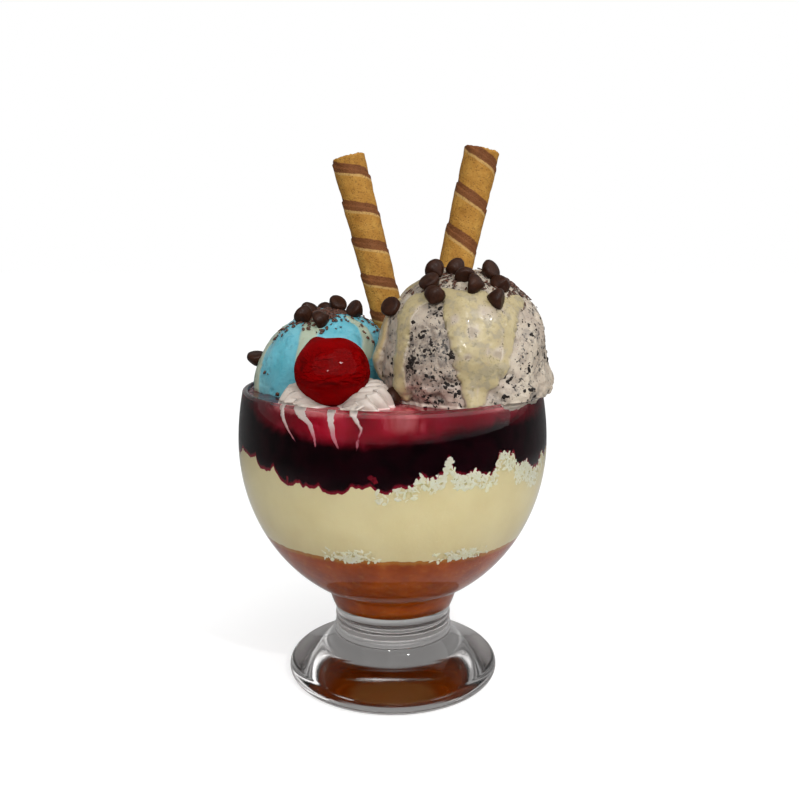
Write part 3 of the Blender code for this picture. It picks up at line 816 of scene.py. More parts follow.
def make_rosette():
    """Cream piped through a star nozzle: ridges that twist as they rise and run in over the top.

    Below the rim only the crests touch the glass, in strips that narrow downwards.
    """
    azimuths = around(360)
    rings = []
    crests = []
    steps = [(share, 1.0) for share in np.linspace(0.0, 0.9, 50)] + [(0.9, k) for k in np.linspace(0.97, 0.06, 26)]
    for share, inward in steps:
        hull = math.sqrt(max(0.0, 1 - (abs(0.03 + 0.9 * share - 0.42) / 0.66) ** 2.6))
        radius = (ROSETTE_RADIUS + 1.8 * MM * (1 - share)) * hull * inward
        twist = RIDGE_TWIST * (share + (1 - inward) * 0.9) + RIDGE_SHIFT
        wave = np.abs(np.cos(ROSETTE_RIDGES / 2 * (azimuths + twist)))
        fine = np.abs(np.cos(ROSETTE_RIDGES * 1.5 * (azimuths + twist)))
        cut = (1 - wave**0.9) * 0.16 + 0.008 * (1 - fine)
        press = ROSETTE_PRESS * np.exp(-((apart(azimuths, -105) / PRESS_WIDTH) ** 2)) * min(1.0, share * 1.1)
        crown = ROSETTE_TOP - 0.6 * MM - press
        height = ROSETTE_BASE + (crown - ROSETTE_BASE) * share / 0.9
        if inward < 1:
            height = height + 1.1 * MM * math.sin(math.pi * min(1.0, (1 - inward) * 1.6)) - cut * 9.0 * MM * inward
            seat = np.exp(-((apart(azimuths, -105) / PRESS_WIDTH) ** 2)) * math.sin(math.pi / 2 * min(1.0, (1 - inward) * 2.2))
            height = height - SEAT_DEPTH * seat
        cut = cut * (1 if inward == 1 else inward**0.3)
        points = ring(azimuths, radius * (1 - cut), height)
        points[:, :2] += np.array(ROSETTE_CENTRE)[:2]
        rings.append(points)
        crests.append(wave)
    rings = np.array(rings)
    crests = np.array(crests)
    rings += (0.35 * MM * roughness_at(rings, 7 * MM, 6.0, 2))[..., None] * np.array((0.6, 0.6, 1.0))
    height = rings[..., 2]
    touching = np.maximum(strip_cover(rings), 0.0)
    inset = 2.2 * MM * (1 - touching) * smooth((RIM_TOP + 1.5 * MM - height) / (2 * MM))
    spread = np.hypot(rings[..., 0], rings[..., 1])
    limit = cavity_radius(np.minimum(height, RIM_TOP)) + INTO_WALL + 0.12 * MM - inset
    below = height < RIM_TOP + 0.3 * MM
    shrink = np.where(below & (spread > limit), limit / spread, 1.0)
    outer = below & (spread > CAVITY_RADIUS - 8 * MM) & (spread < limit)
    shrink = np.where(outer, 1 + (limit / spread - 1) * touching, shrink)
    rings[..., 0] *= shrink
    rings[..., 1] *= shrink
    middle = np.array(ROSETTE_CENTRE)
    mesh = closed_surface("piped_rosette", rings, (*middle[:2], ROSETTE_BASE), (*middle[:2], ROSETTE_TOP - 4 * MM))
    rosette = new_piece("piped_rosette", mesh, whipped_finish())
    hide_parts("whipped_cream")
    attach(rosette, BODY)
    return rosette


def make_cherry():
    """A candied cherry: slightly squashed, with a hollow where the stalk was and soft wrinkles."""
    headings = Scoop.headings(90, 128)
    stalk = np.array(direction(125, 78))
    bump = np.array(direction(150, 62))
    dip = 1.6 * MM * np.exp(-((np.arccos(np.clip(headings @ stalk, -1, 1)) / math.radians(16)) ** 2))
    rise = 1.3 * MM * np.exp(-((np.arccos(np.clip(headings @ bump, -1, 1)) / math.radians(17)) ** 2))
    wrinkle = 0.16 * MM * roughness_at(headings, 0.5, 3.0, 2) + 0.05 * MM * roughness_at(headings, 0.12, 5.0, 2)
    points = headings * (CHERRY_RADIUS - dip + rise + wrinkle)[..., None]
    squash = CHERRY_HEIGHT / (2 * CHERRY_RADIUS)
    points[..., 2] *= squash
    points += np.array(CHERRY_CENTRE)
    middle = CHERRY_CENTRE
    poles = [(middle.x, middle.y, middle.z + sign * CHERRY_HEIGHT / 2) for sign in (-1, 0.93)]

    def paint(nodes):
        soft = nodes.cloud(7 * MM, 2.0, 0.5)
        colour = nodes.ramp(soft, (0.3, (0.105, 0.0002, 0.0004)), (0.7, (0.17, 0.0004, 0.0008)))
        fold = nodes.cloud(2.8 * MM, 2.0, 0.5, vector=nodes.stretched((0.6, 0.6, 1.7)), distortion=1.2)
        height = nodes.split(nodes.place())[2]
        wrinkled = height.above(112 * MM, 4 * MM) * height.below(122 * MM, 3 * MM) * soft.above(0.42, 0.2)
        return {"Base Color": colour, "Normal": nodes.bump(fold * (wrinkled * 0.93 + 0.07), 2.8 * MM, 0.85)}

    constants = {"Roughness": 0.35, "Specular IOR Level": 0.0, "Coat Weight": 0.06, "Coat Roughness": 0.07}
    constants["Subsurface Weight"] = 0.25
    constants["Subsurface Radius"] = (1.0, 0.1, 0.05)
    constants["Subsurface Scale"] = 3 * MM
    mesh = closed_surface("candied_cherry", points, poles[0], poles[1])
    cherry = new_piece("candied_cherry", mesh, finish("candied_cherry", constants, paint))
    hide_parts("cherry")
    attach(cherry, BODY)
    return cherry


# ---------------------------------------------------------------- geometry trees


class GeometryTree(Nodes):
    """A Geometry Nodes tree with named number inputs."""

    def __init__(self, name, inputs):
        super().__init__(bpy.data.node_groups.new(name, "GeometryNodeTree"))
        interface = self.tree.interface
        interface.new_socket("Geometry", in_out="INPUT", socket_type="NodeSocketGeometry")
        for label in inputs:
            kind = "NodeSocketVector" if label in ("Top", "Turn") else "NodeSocketFloat"
            interface.new_socket(label, in_out="INPUT", socket_type=kind)
        interface.new_socket("Geometry", in_out="OUTPUT", socket_type="NodeSocketGeometry")
        self.source = self.tree.nodes.new("NodeGroupInput")

    def __getitem__(self, label):
        return Value(self, self.source.outputs[label])

    def share(self, value, low, high):
        """How far a value is from low to high, from 0 to 1."""
        return self.add("ShaderNodeMapRange", None, {"Value": value, "From Min": low, "From Max": high})

    def result(self, geometry, material):
        """Realize the instances, set the material and end the tree."""
        real = self.add("GeometryNodeRealizeInstances", None, {"Geometry": geometry})
        dressed = self.add("GeometryNodeSetMaterial", None, {"Geometry": real, "Material": material})
        end = self.tree.nodes.new("NodeGroupOutput")
        self.feed(end.inputs["Geometry"], dressed)

    def grow(self, name, mesh, inputs):
        """A plain mesh piece: what the tree makes of a mesh with these input values."""
        seed = bpy.data.objects.new(name + "_source", mesh)
        bpy.context.scene.collection.objects.link(seed)
        modifier = seed.modifiers.new("grow", "NODES")
        modifier.node_group = self.tree
        for item in self.tree.interface.items_tree:
            if item.in_out == "INPUT" and item.name in inputs:
                modifier[item.identifier] = inputs[item.name]
        graph = bpy.context.evaluated_depsgraph_get()
        grown = bpy.data.meshes.new_from_object(seed.evaluated_get(graph))
        seed.modifiers.clear()
        bpy.data.objects.remove(seed)
        grown.name = name
        piece = bpy.data.objects.new(name, grown)
        bpy.context.scene.collection.objects.link(piece)
        return piece


# ---------------------------------------------------------------- poured sauces


# Streams of sauce on the scoops: points of azimuth and elevation in degrees, with the half-width in mm.
COOKIE_STREAMS = [
    [(-126, 44, 3.0), (-136, 38, 4.0), (-137, 27, 3.8), (-138, 13, 3.2), (-139, -3, 2.8), (-139, -12, 3.0), (-140, -18, 3.7), (-140, -21, 3.7)],
    [(-99, 44, 3.0), (-98, 36, 5.0), (-95, 24, 5.0), (-92, 10, 4.4), (-89, -4, 3.8), (-88, -17, 3.2), (-87, -28, 2.4)],
    [(-86, 40, 4.6), (-84, 25, 4.6), (-83, 10, 4.0), (-83, -10, 3.2)],
    [(-76, 44, 4.0), (-74, 28, 4.6), (-73, 15, 4.2), (-74, 2, 3.6), (-77, -10, 3.2), (-82, -20, 2.6)],
    [(-36, 42, 3.0), (-50, 36, 3.4), (-58, 26, 3.0), (-64, 12, 2.6), (-69, -5, 2.2)],
    [(-120, 46, 2.4), (-99, 45, 3.0), (-76, 42, 3.6), (-55, 40, 3.0)],
    [(-150, 62, 3.0), (170, 48, 2.4), (160, 30, 2.0)],
    [(100, 66, 3.0), (95, 50, 2.6), (92, 33, 2.2), (90, 15, 2.4)],
]
# Where a stream ends in a fuller drop: azimuth, elevation and half-width in mm.
COOKIE_DROPS = [(-140, -19, 3.0), (-88, -24, 2.6)]
CARAMEL_DROPS = [(-167, -2, 4.0)]
# Where the milk lies so thin that the ice cream shows through.
COOKIE_GAPS = [(-76, 31, 3.6), (-99, 27, 2.2), (-87, 20, 2.6), (-73, 6, 2.4), (-91, 4, 2.0)]
CARAMEL_STREAMS = [[(-170, 38, 1.8), (-164, 26, 2.4), (-163, 14, 2.6), (-167, 2, 4.2), (-168, -6, 4.6), (-165, -12, 3.0)]]


def poured(name, scoop, streams, thickness, material, drops=(), gaps=()):
    """A closed sheet of sauce that lies on a scoop, thickest along its streams and sunk in at its edges."""
    rings, count = 280, 440
    headings = scoop.headings(rings, count)
    cover = np.max([stream_cover(headings, scoop.radius, stream) for stream in streams], axis=0)
    near = cover > -1.5
    ragged = np.zeros(cover.shape)
    ragged[near] = roughness_at(headings[near], 0.11, 5.0, 2) + 1.3 * roughness_at(headings[near], 0.30, 8.0, 1)
    cover = cover + 0.5 * ragged * np.clip(1.2 - cover, 0.0, 1.0)
    full = np.clip(cover, 0, 1)
    depth = np.where(cover > 0, thickness * full * (1.7 - 0.7 * full), -0.2 * MM)
    for azimuth, elevation, width in drops:
        cosine = np.clip(headings @ np.array(direction(azimuth, elevation)), -1, 1)
        depth = depth + 1.7 * MM * np.exp(-((np.arccos(cosine) * scoop.radius / (width * MM)) ** 2)) * (cover > 0)
    grid = np.arange(rings * count).reshape(rings, count)
    beside = np.roll(grid, -1, axis=1)
    quads = np.stack([grid[:-1], beside[:-1], beside[1:], grid[1:]], axis=-1).reshape(-1, 4)
    kept = quads[(cover.ravel()[quads] > 0).any(axis=1)]
    used, kept = np.unique(kept, return_inverse=True)
    kept = kept.reshape(-1, 4)
    flat = headings.reshape(-1, 3)[used]
    calm = 1 - 0.8 * smooth(cover.ravel()[used] * 1.3)
    upper = scoop.points(flat, depth.ravel()[used], calm)
    lower = scoop.points(flat, -0.9 * MM)
    size = len(used)
    sides = np.concatenate([kept[:, [k, (k + 1) % 4]] for k in range(4)])
    known = set(map(tuple, sides.tolist()))
    walls = [(b, a, a + size, b + size) for a, b in known if (b, a) not in known]
    faces = kept.tolist() + (kept[:, ::-1] + size).tolist() + sorted(walls)
    mesh = bpy.data.meshes.new(name)
    mesh.from_pydata(np.concatenate([upper, lower]).tolist(), [], faces)
    layer = mesh.attributes.new("cover", "FLOAT", "POINT")
    cover = cover.ravel()[used]
    for azimuth, elevation, width in gaps:
        cosine = np.clip(flat @ np.array(direction(azimuth, elevation)), -1, 1)
        cover = cover - 0.9 * np.exp(-((np.arccos(cosine) * scoop.radius / (width * MM)) ** 2))
    layer.data.foreach_set("value", np.tile(cover, 2).astype(np.float32))
    piece = new_piece(name, mesh, material, sharp=75)
    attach(piece, BODY)
    return piece


def milk_finish(name, pale, deep, under):
    """Milky sauce that lets the ice cream, painted by under(nodes), show through its thin edges, with a painted shadow
    line along its edge.
    """

    def paint(nodes):
        soft = nodes.cloud(6 * MM, 3.0, 0.5)
        ripple = nodes.cloud(3.5 * MM, 2.0, 0.4) + nodes.cloud(1.4 * MM, 1.0, 0.4) * 0.3
        colour = nodes.ramp(soft, (0.32, deep), (0.62, pale))
        sunk = nodes.cloud(3.2 * MM, 3.0, 0.6).above(0.56, 0.14)
        colour = nodes.mix(sunk * 0.55, colour, (0.19, 0.17, 0.125))
        specks = nodes.cloud(0.7 * MM, 2.0, 0.5).above(0.70, 0.06)
        colour = nodes.mix(specks * 0.5, colour, (0.14, 0.09, 0.06))
        thick = (nodes.attribute("cover") + (soft - 0.5) * 1.5).above(0.30, 0.7)
        colour = nodes.mix(thick * 0.84, under(nodes), colour)
        # Painted shade: a dark line along the sauce's edge, where it meets the ice cream.
        colour = nodes.mix(nodes.attribute("cover").below(0.12, 0.2) * 0.55, colour, (0.20, 0.155, 0.10))
        return {"Base Color": colour, "Normal": nodes.bump(ripple, 0.5 * MM, 0.45)}

    constants = {"Roughness": 0.3, "Specular IOR Level": 0.2, "Coat Weight": 0.22, "Coat Roughness": 0.06}
    constants["Subsurface Weight"] = 0.05
    constants["Subsurface Radius"] = (1.0, 0.8, 0.4)
    constants["Subsurface Scale"] = 2 * MM
    return finish(name, constants, paint)


def make_sauces():
    milk = milk_finish("milk_sauce", (0.37, 0.305, 0.155), (0.30, 0.240, 0.115), cookie_colour)
    poured("milk_sauce_cookie", COOKIE, COOKIE_STREAMS, 0.8 * MM, milk, COOKIE_DROPS, COOKIE_GAPS)
    caramel = milk_finish("caramel_sauce", (0.42, 0.32, 0.15), (0.35, 0.25, 0.115), cookie_colour)
    poured("caramel_sauce", COOKIE, CARAMEL_STREAMS, 1.2 * MM, caramel, CARAMEL_DROPS)


# ---------------------------------------------------------------- scattered bits


def scatter_tree(material, facets):
    """Irregular grains on given points, lying flat against the way that each point's surface looks."""
    tree = GeometryTree("scattered_bits", ["Least", "Most", "Long", "Flat", "Seed"])
    grain = tree.add("GeometryNodeMeshIcoSphere", None, {"Radius": 0.5, "Subdivisions": facets})
    out = tree.add("GeometryNodeInputNamedAttribute", {"data_type": "FLOAT_VECTOR"}, {"Name": "out"})
    stand = tree.add("FunctionNodeAlignRotationToVector", {"axis": "Z"}, {"Vector": out})
    spin = tree.add("FunctionNodeRandomValue", {"data_type": "FLOAT"}, {2: 0.0, 3: TURN, 8: tree["Seed"]}, output=1)
    tip = tree.add("FunctionNodeRandomValue", {"data_type": "FLOAT"}, {2: -0.4, 3: 0.4, 8: tree["Seed"] + 3}, output=1)
    turn = tree.add("ShaderNodeCombineXYZ", None, {0: tip, 1: 0.0, 2: spin})
    lie = tree.add("FunctionNodeRotateRotation", {"rotation_space": "LOCAL"}, {"Rotation": stand, "Rotate By": turn})
    limits = {2: tree["Least"], 3: tree["Most"], 8: tree["Seed"] + 1}
    size = tree.add("FunctionNodeRandomValue", {"data_type": "FLOAT"}, limits, output=1)
    width = tree.add("FunctionNodeRandomValue", {"data_type": "FLOAT"}, {2: 0.7, 3: 1.2, 8: tree["Seed"] + 2}, output=1)
    scale = tree.add("ShaderNodeCombineXYZ", None, {0: size * tree["Long"], 1: size * width, 2: size * tree["Flat"]})
    sockets = {"Points": tree["Geometry"], "Instance": grain, "Rotation": lie, "Scale": scale}
    grains = tree.add("GeometryNodeRealizeInstances", None, {0: tree.add("GeometryNodeInstanceOnPoints", None, sockets)})
    where = tree.add("GeometryNodeInputPosition")
    rough = tree.add("ShaderNodeTexNoise", None, {"Vector": where, "Scale": 1 / (1.1 * MM), "Detail": 1.0}, output=1)
    shift = tree.add("ShaderNodeVectorMath", {"operation": "SUBTRACT"}, {0: rough, 1: (0.5, 0.5, 0.5)})
    shift = tree.add("ShaderNodeVectorMath", {"operation": "SCALE"}, {0: shift, "Scale": tree["Most"] * 0.7})
    uneven = tree.add("GeometryNodeSetPosition", None, {"Geometry": grains, "Offset": shift})
    tree.result(uneven, material)
    return tree


def scatter(name, points, outs, size, shape, seed, material, facets=2):
    """A piece of grains on points. size is the least and most width, shape the length and thickness in widths."""
    host = bpy.data.meshes.new(name)
    host.from_pydata(points.tolist(), [], [])
    layer = host.attributes.new("out", "FLOAT_VECTOR", "POINT")
    layer.data.foreach_set("vector", outs.ravel().astype(np.float32))
    inputs = {"Least": size[0], "Most": size[1], "Long": shape[0], "Flat": shape[1], "Seed": float(seed)}
    piece = scatter_tree(material, facets).grow(name, host, inputs)
    piece.data.shade_smooth()
    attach(piece, BODY)
    return piece


def strewn(seed, clusters):
    """Unit vectors gathered round directions: azimuth, elevation, spread in degrees and how many."""
    dice = np.random.default_rng(seed)
    made = []
    for azimuth, elevation, spread, count in clusters:
        scattered = np.array(direction(azimuth, elevation)) + dice.normal(0, math.radians(spread), (count, 3))
        made.append(scattered / np.linalg.norm(scattered, axis=1)[:, None])
    return np.concatenate(made)


def on_scoop(scoop, headings, lift):
    return scoop.points(headings, lift), headings


def biscuit_finish():
    def paint(nodes):
        fine = nodes.cloud(0.8 * MM, 3.0, 0.6)
        colour = nodes.ramp(fine, (0.35, (0.006, 0.005, 0.0045)), (0.7, (0.028, 0.021, 0.018)))
        return {"Base Color": colour, "Normal": nodes.bump(fine, 0.3 * MM, 0.7)}

    return finish("dark_biscuit", {"Roughness": 0.6, "Specular IOR Level": 0.12}, paint)


def shaving_finish():
    def paint(nodes):
        fine = nodes.cloud(1.2 * MM, 3.0, 0.6)
        colour = nodes.ramp(fine, (0.35, (0.032, 0.010, 0.005)), (0.7, (0.11, 0.032, 0.012)))
        return {"Base Color": colour, "Normal": nodes.bump(fine, 0.15 * MM, 0.5)}

    return finish("chocolate_shavings", {"Roughness": 0.5}, paint)


# Pieces of dark biscuit in the cookie ice cream: azimuth, elevation, spread in degrees and how many.
BISCUIT_SPOTS = [
    (-128, 1, 2.6, 26), (-126, -5, 3.0, 14), (-101, 8, 2.0, 14), (-99, 3, 2.0, 8), (-108, 33, 3.0, 14),
    (-120, 17, 3.0, 12), (-49, -5, 3.0, 18), (-49, -19, 3.0, 14), (-147, -2, 3.0, 12), (-113, -28, 4.0, 16),
    (-99, -21, 4.0, 12), (-119, -18, 4.0, 18), (-150, -11, 3.0, 10), (-112, 3, 5.0, 18), (-60, -14, 6.0, 16),
    (-105, -12, 6.0, 24), (-132, 22, 5.0, 12), (-20, 10, 9.0, 26), (10, 5, 10.0, 24), (40, -5, 10.0, 24),
    (80, 10, 10.0, 26), (120, 0, 10.0, 24), (160, 20, 9.0, 16), (30, 40, 10.0, 16), (110, 45, 10.0, 14),
    (-35, 20, 7.0, 12),
]
COOKIE_SHAVINGS = [
    (-38, 62, 7, 40), (-38, 52, 6, 34), (-19, 46, 6, 34), (-21, 56, 5, 24), (-100, 60, 7, 26), (-125, 62, 5, 14), (-60, 60, 7, 26), (-38, 36, 4, 8), (-172, 48, 4, 8),
    (-140, 52, 5, 10), (-117, 58, 5, 10), (-139, 41, 3, 6), (-70, 78, 8, 30), (60, 60, 14, 26), (150, 60, 12, 16),
]
BLUE_SHAVINGS = [
    (-137, 56, 4, 8), (-135, 45, 3, 5), (-155, 47, 3, 8), (-153, 36, 2, 5), (-110, 52, 3, 4), (-91, 50, 4, 5),
    (-76, 58, 5, 10), (-42, 50, 3, 4), (-23, 47, 3, 4), (-43, 36, 2, 3), (-17, 62, 5, 10), (-141, 10, 2, 2),
    (-100, 76, 9, 230), (-125, 66, 6, 60), (-128, -7, 2, 2), (90, 50, 14, 22), (160, 55, 12, 12), (20, 60, 12, 14),
]


def curd_finish():
    def paint(nodes):
        fine = nodes.cloud(1.0 * MM, 3.0, 0.6)
        colour = nodes.ramp(fine, (0.3, (0.88, 0.82, 0.58)), (0.7, (0.96, 0.93, 0.80)))
        return {"Base Color": colour, "Normal": nodes.bump(fine, 0.2 * MM, 0.6)}

    constants = {"Roughness": 0.5, "Specular IOR Level": 0.0, "Subsurface Weight": 0.15, "Subsurface Scale": 1 * MM}
    return finish("cream_curds", constants, paint)


def on_wall(azimuths, heights, lift):
    """Points just inside the glass wall, and the way out from the axis at each."""
    radius = cavity_radius(heights) + INTO_WALL + lift
    flat = np.zeros(azimuths.shape)
    points = np.stack([radius * np.cos(azimuths), radius * np.sin(azimuths), heights], axis=-1)
    return points, np.stack([np.cos(azimuths), np.sin(azimuths), flat], axis=-1)


def make_wall_bits(berry_low, puree_top):
    """Curds of cream along its two boundaries and pieces of berry low in the sauce."""
    dice = np.random.default_rng(17)
    grid = around(LAYER_POINTS)
    azimuths = []
    heights = []
    for zones, start, sign in ((UPPER_CURDS, berry_low, -1), (LOWER_CURDS, puree_top, 1)):
        for middle, width, depth in zones:
            count = int(width * depth * 3.2)
            turn = np.radians(middle + width * np.clip(dice.normal(0, 0.55, count), -1.3, 1.3)) % TURN
            level = np.interp(turn, grid, start)
            azimuths.append(turn)
            heights.append(level + sign * MM * depth * dice.random(count) ** 1.4 - sign * 0.3 * MM)
    points, outs = on_wall(np.concatenate(azimuths), np.concatenate(heights), 0.05 * MM)
    scatter("cream_curds", points, outs, (0.35 * MM, 1.1 * MM), (2.4, 0.28), 12, curd_finish())
    turn = np.radians([-24.0, -96.0, -128.0, 35.0, 88.0, 140.0]) % TURN
    level = np.interp(turn, grid, berry_low) + dice.uniform(1.5, 4.0, 6) * MM
    points, outs = on_wall(turn, level, -0.35 * MM)

    def paint(nodes):
        fine = nodes.cloud(1.5 * MM, 3.0, 0.6)
        return {"Base Color": nodes.ramp(fine, (0.3, (0.10, 0.003, 0.010)), (0.7, (0.26, 0.010, 0.022)))}

    berry = finish("berry_pieces", {"Roughness": 0.4, "Specular IOR Level": 0.0}, paint)
    scatter("berry_pieces", points, outs, (2.2 * MM, 3.2 * MM), (1.5, 0.45), 14, berry, 3)


def make_bits():
    biscuit = biscuit_finish()
    headings = strewn(21, BISCUIT_SPOTS)
    points, outs = on_scoop(COOKIE, headings, -0.28 * MM)
    scatter("biscuit_pieces", points, outs, (0.5 * MM, 1.7 * MM), (1.2, 0.55), 5, biscuit)
    dice = np.random.default_rng(8)
    headings = dice.normal(0, 1, (620, 3))
    headings /= np.linalg.norm(headings, axis=1)[:, None]
    points, outs = on_scoop(COOKIE, headings[headings[:, 2] > -0.62], -0.08 * MM)
    scatter("biscuit_crumbs", points, outs, (0.25 * MM, 0.75 * MM), (1.2, 0.6), 6, biscuit, 1)
    shaving = shaving_finish()
    points, outs = on_scoop(COOKIE, strewn(31, COOKIE_SHAVINGS), 0.35 * MM)
    scatter("shavings_cookie", points, outs, (0.4 * MM, 0.9 * MM), (2.6, 0.55), 7, shaving, 1)
    points, outs = on_scoop(BLUE, strewn(41, BLUE_SHAVINGS), 0.25 * MM)
    scatter("shavings_blue", points, outs, (0.6 * MM, 1.4 * MM), (1.6, 0.5), 9, shaving, 1)


# ---------------------------------------------------------------- wafers


def wafer_finish(name, top, lean, pitch, offset):
    """Golden biscuit with a brown stripe that winds round it beside the rolled sheet's edge."""

    def paint(nodes):
        sockets = {"Vector": nodes.place(), "Location": top, "Rotation": (0.0, lean, 0.0)}
        local = nodes.add("ShaderNodeMapping", {"vector_type": "TEXTURE"}, sockets)
        x, y, z = nodes.split(local)
        turn = y.maths("ARCTAN2", x) / TURN
        wobble = (nodes.cloud(8 * MM, 2.0, 0.5, vector=local) - 0.5) * 0.09
        phase = (turn + z / pitch + offset + wobble).maths("FRACT")
        edge = nodes.cloud(1.3 * MM, 3.0, 0.6, vector=local)
        middle = (phase - 0.5).maths("ABSOLUTE") + (edge - 0.5) * 0.05
        stripe = middle.below(0.135, 0.03)
        pale = (phase - 0.345).maths("ABSOLUTE").below(0.045, 0.04)
        toast = nodes.cloud(6 * MM, 4.0, 0.6, vector=local)
        biscuit = nodes.ramp(toast, (0.3, (0.245, 0.108, 0.016)), (0.5, (0.325, 0.157, 0.028)), (0.72, (0.41, 0.222, 0.048)))
        biscuit = nodes.mix(pale * 0.55, biscuit, (0.46, 0.30, 0.12))
        brown = nodes.ramp(toast, (0.3, (0.095, 0.030, 0.010)), (0.7, (0.155, 0.050, 0.017)))
        colour = nodes.mix(stripe * 0.92, biscuit, brown)
        pores = nodes.cells(0.9 * MM, vector=local)
        hollow = pores.below(0.28, 0.25)
        # Painted shade: darker colour in the pores, the small hollows that the bump below presses in.
        colour = nodes.mix(hollow * 0.35, colour, (0.13, 0.058, 0.02))
        crust = nodes.bump(nodes.cloud(0.7 * MM, 3.0, 0.6, vector=local) - hollow * 0.6, 0.25 * MM, 0.7)
        return {"Base Color": colour, "Normal": crust}

    return finish(name, {"Roughness": 0.62, "Specular IOR Level": 0.12}, paint)


def wafer_tree(material):
    """A rolled tube: a profile from the foot up the outside, over the lip and down the bore, all the way round."""
    inputs = ["Length", "Radius", "Bore", "Depth", "Pitch", "Offset", "Step", "Lip", "Top", "Turn"]
    tree = GeometryTree("rolled_wafer", inputs)
    sizes = {"Size X": 1.0, "Size Y": 1.0, "Vertices X": 420, "Vertices Y": 97}
    sheet = tree.add("GeometryNodeMeshGrid", None, sizes)
    across, beside, _ = tree.split(tree.add("GeometryNodeInputPosition"))
    along = across + 0.5
    angle = (0.5 - beside) * TURN
    sole = tree.share(along, 0.0, 0.03)
    climb = tree.share(along, 0.03, 0.84)
    lip = tree.share(along, 0.84, 0.91)
    bore = tree.share(along, 0.91, 0.98)
    floor = tree.share(along, 0.98, 1.0)
    length, radius, depth = tree["Length"], tree["Radius"], tree["Depth"]
    wall = radius - tree["Bore"]
    spread = radius * sole - wall * (1.0 - (lip * math.pi).maths("COSINE")) * 0.5 - tree["Bore"] * floor
    rounding = tree["Lip"]
    height = (length - rounding) * climb - length + rounding * (lip * math.pi).maths("SINE")
    height = height - (depth - rounding) * bore
    phase = (angle / TURN + height / tree["Pitch"] + tree["Offset"] + 0.5).maths("FRACT")
    step = (phase - 0.5) * tree["Step"] * climb * (1.0 - bore)
    polar = tree.add("ShaderNodeCombineXYZ", None, {0: angle.maths("COSINE") * 2.0, 1: angle.maths("SINE") * 2.0, 2: height * 180.0})
    crumple = tree.add("ShaderNodeTexNoise", None, {"Vector": polar, "Scale": 1.0, "Detail": 2.0}) - 0.5
    ragged = tree.add("ShaderNodeTexNoise", None, {"Vector": polar, "Scale": 2.6, "Detail": 3.0}) - 0.5
    spread = spread + (step + crumple * (0.75 * MM)) * sole * (1.0 - floor)
    height = height + ragged * (1.0 * MM) * tree.share(along, 0.78, 0.86) * (1.0 - bore)
    rolled = tree.add(
        "ShaderNodeCombineXYZ",
        None,
        {0: spread * angle.maths("COSINE"), 1: spread * angle.maths("SINE"), 2: height},
    )
    tube = tree.add("GeometryNodeSetPosition", None, {"Geometry": sheet, "Position": rolled})
    placed = tree.add(
        "GeometryNodeTransform", None, {"Geometry": tube, "Translation": tree["Top"], "Rotation": tree["Turn"]}
    )
    closed = tree.add("GeometryNodeMergeByDistance", None, {"Geometry": placed, "Distance": 0.002 * MM})
    tree.result(closed, material)
    return tree


def make_wafers():
    for name, (top, lean, foot, pitch, offset) in WAFERS.items():
        tree = wafer_tree(wafer_finish(name + "_biscuit", top, lean, pitch, offset))
        inputs = {
            "Length": (top.z - foot) / math.cos(lean),
            "Radius": WAFER_RADIUS - 0.1 * MM,
            "Bore": WAFER_BORE,
            "Depth": WAFER_BORE_DEPTH,
            "Pitch": pitch,
            "Offset": offset,
            "Step": 0.55 * MM,
            "Lip": 0.8 * MM,
            "Top": top,
            "Turn": (0.0, lean, 0.0),
        }
        wafer = tree.grow("rolled_" + name, bpy.data.meshes.new("none"), inputs)
        wafer.data.shade_smooth()
        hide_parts(name)
        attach(wafer, BODY)


# ---------------------------------------------------------------- chocolate chips


def chip_finish():
    def paint(nodes):
        soft = nodes.cloud(2.5 * MM, 3.0, 0.6)
        bloom = nodes.cloud(1.0 * MM, 3.0, 0.6)
        colour = nodes.ramp(soft, (0.3, (0.014, 0.005, 0.003)), (0.7, (0.034, 0.012, 0.006)))
        colour = nodes.mix(bloom.above(0.66, 0.15) * 0.3, colour, (0.075, 0.042, 0.03))
        return {"Base Color": colour, "Normal": nodes.bump(bloom, 0.15 * MM, 0.5)}

    return finish("chocolate", {"Roughness": 0.33, "Specular IOR Level": 0.10}, paint)


def chip_pose(node):
    """Base centre, upward axis and height of a chip's solid: its tip lies farthest from its middle."""
    points = [vertex.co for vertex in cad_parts[node].data.vertices]
    middle = sum(points, Vector()) / len(points)
    tip = max(points, key=lambda point: (point - middle).length)
    axis = (tip - middle).normalized()
    reaches = [(point - tip).dot(axis) for point in points]
    return tip + axis * min(reaches), axis, -min(reaches)


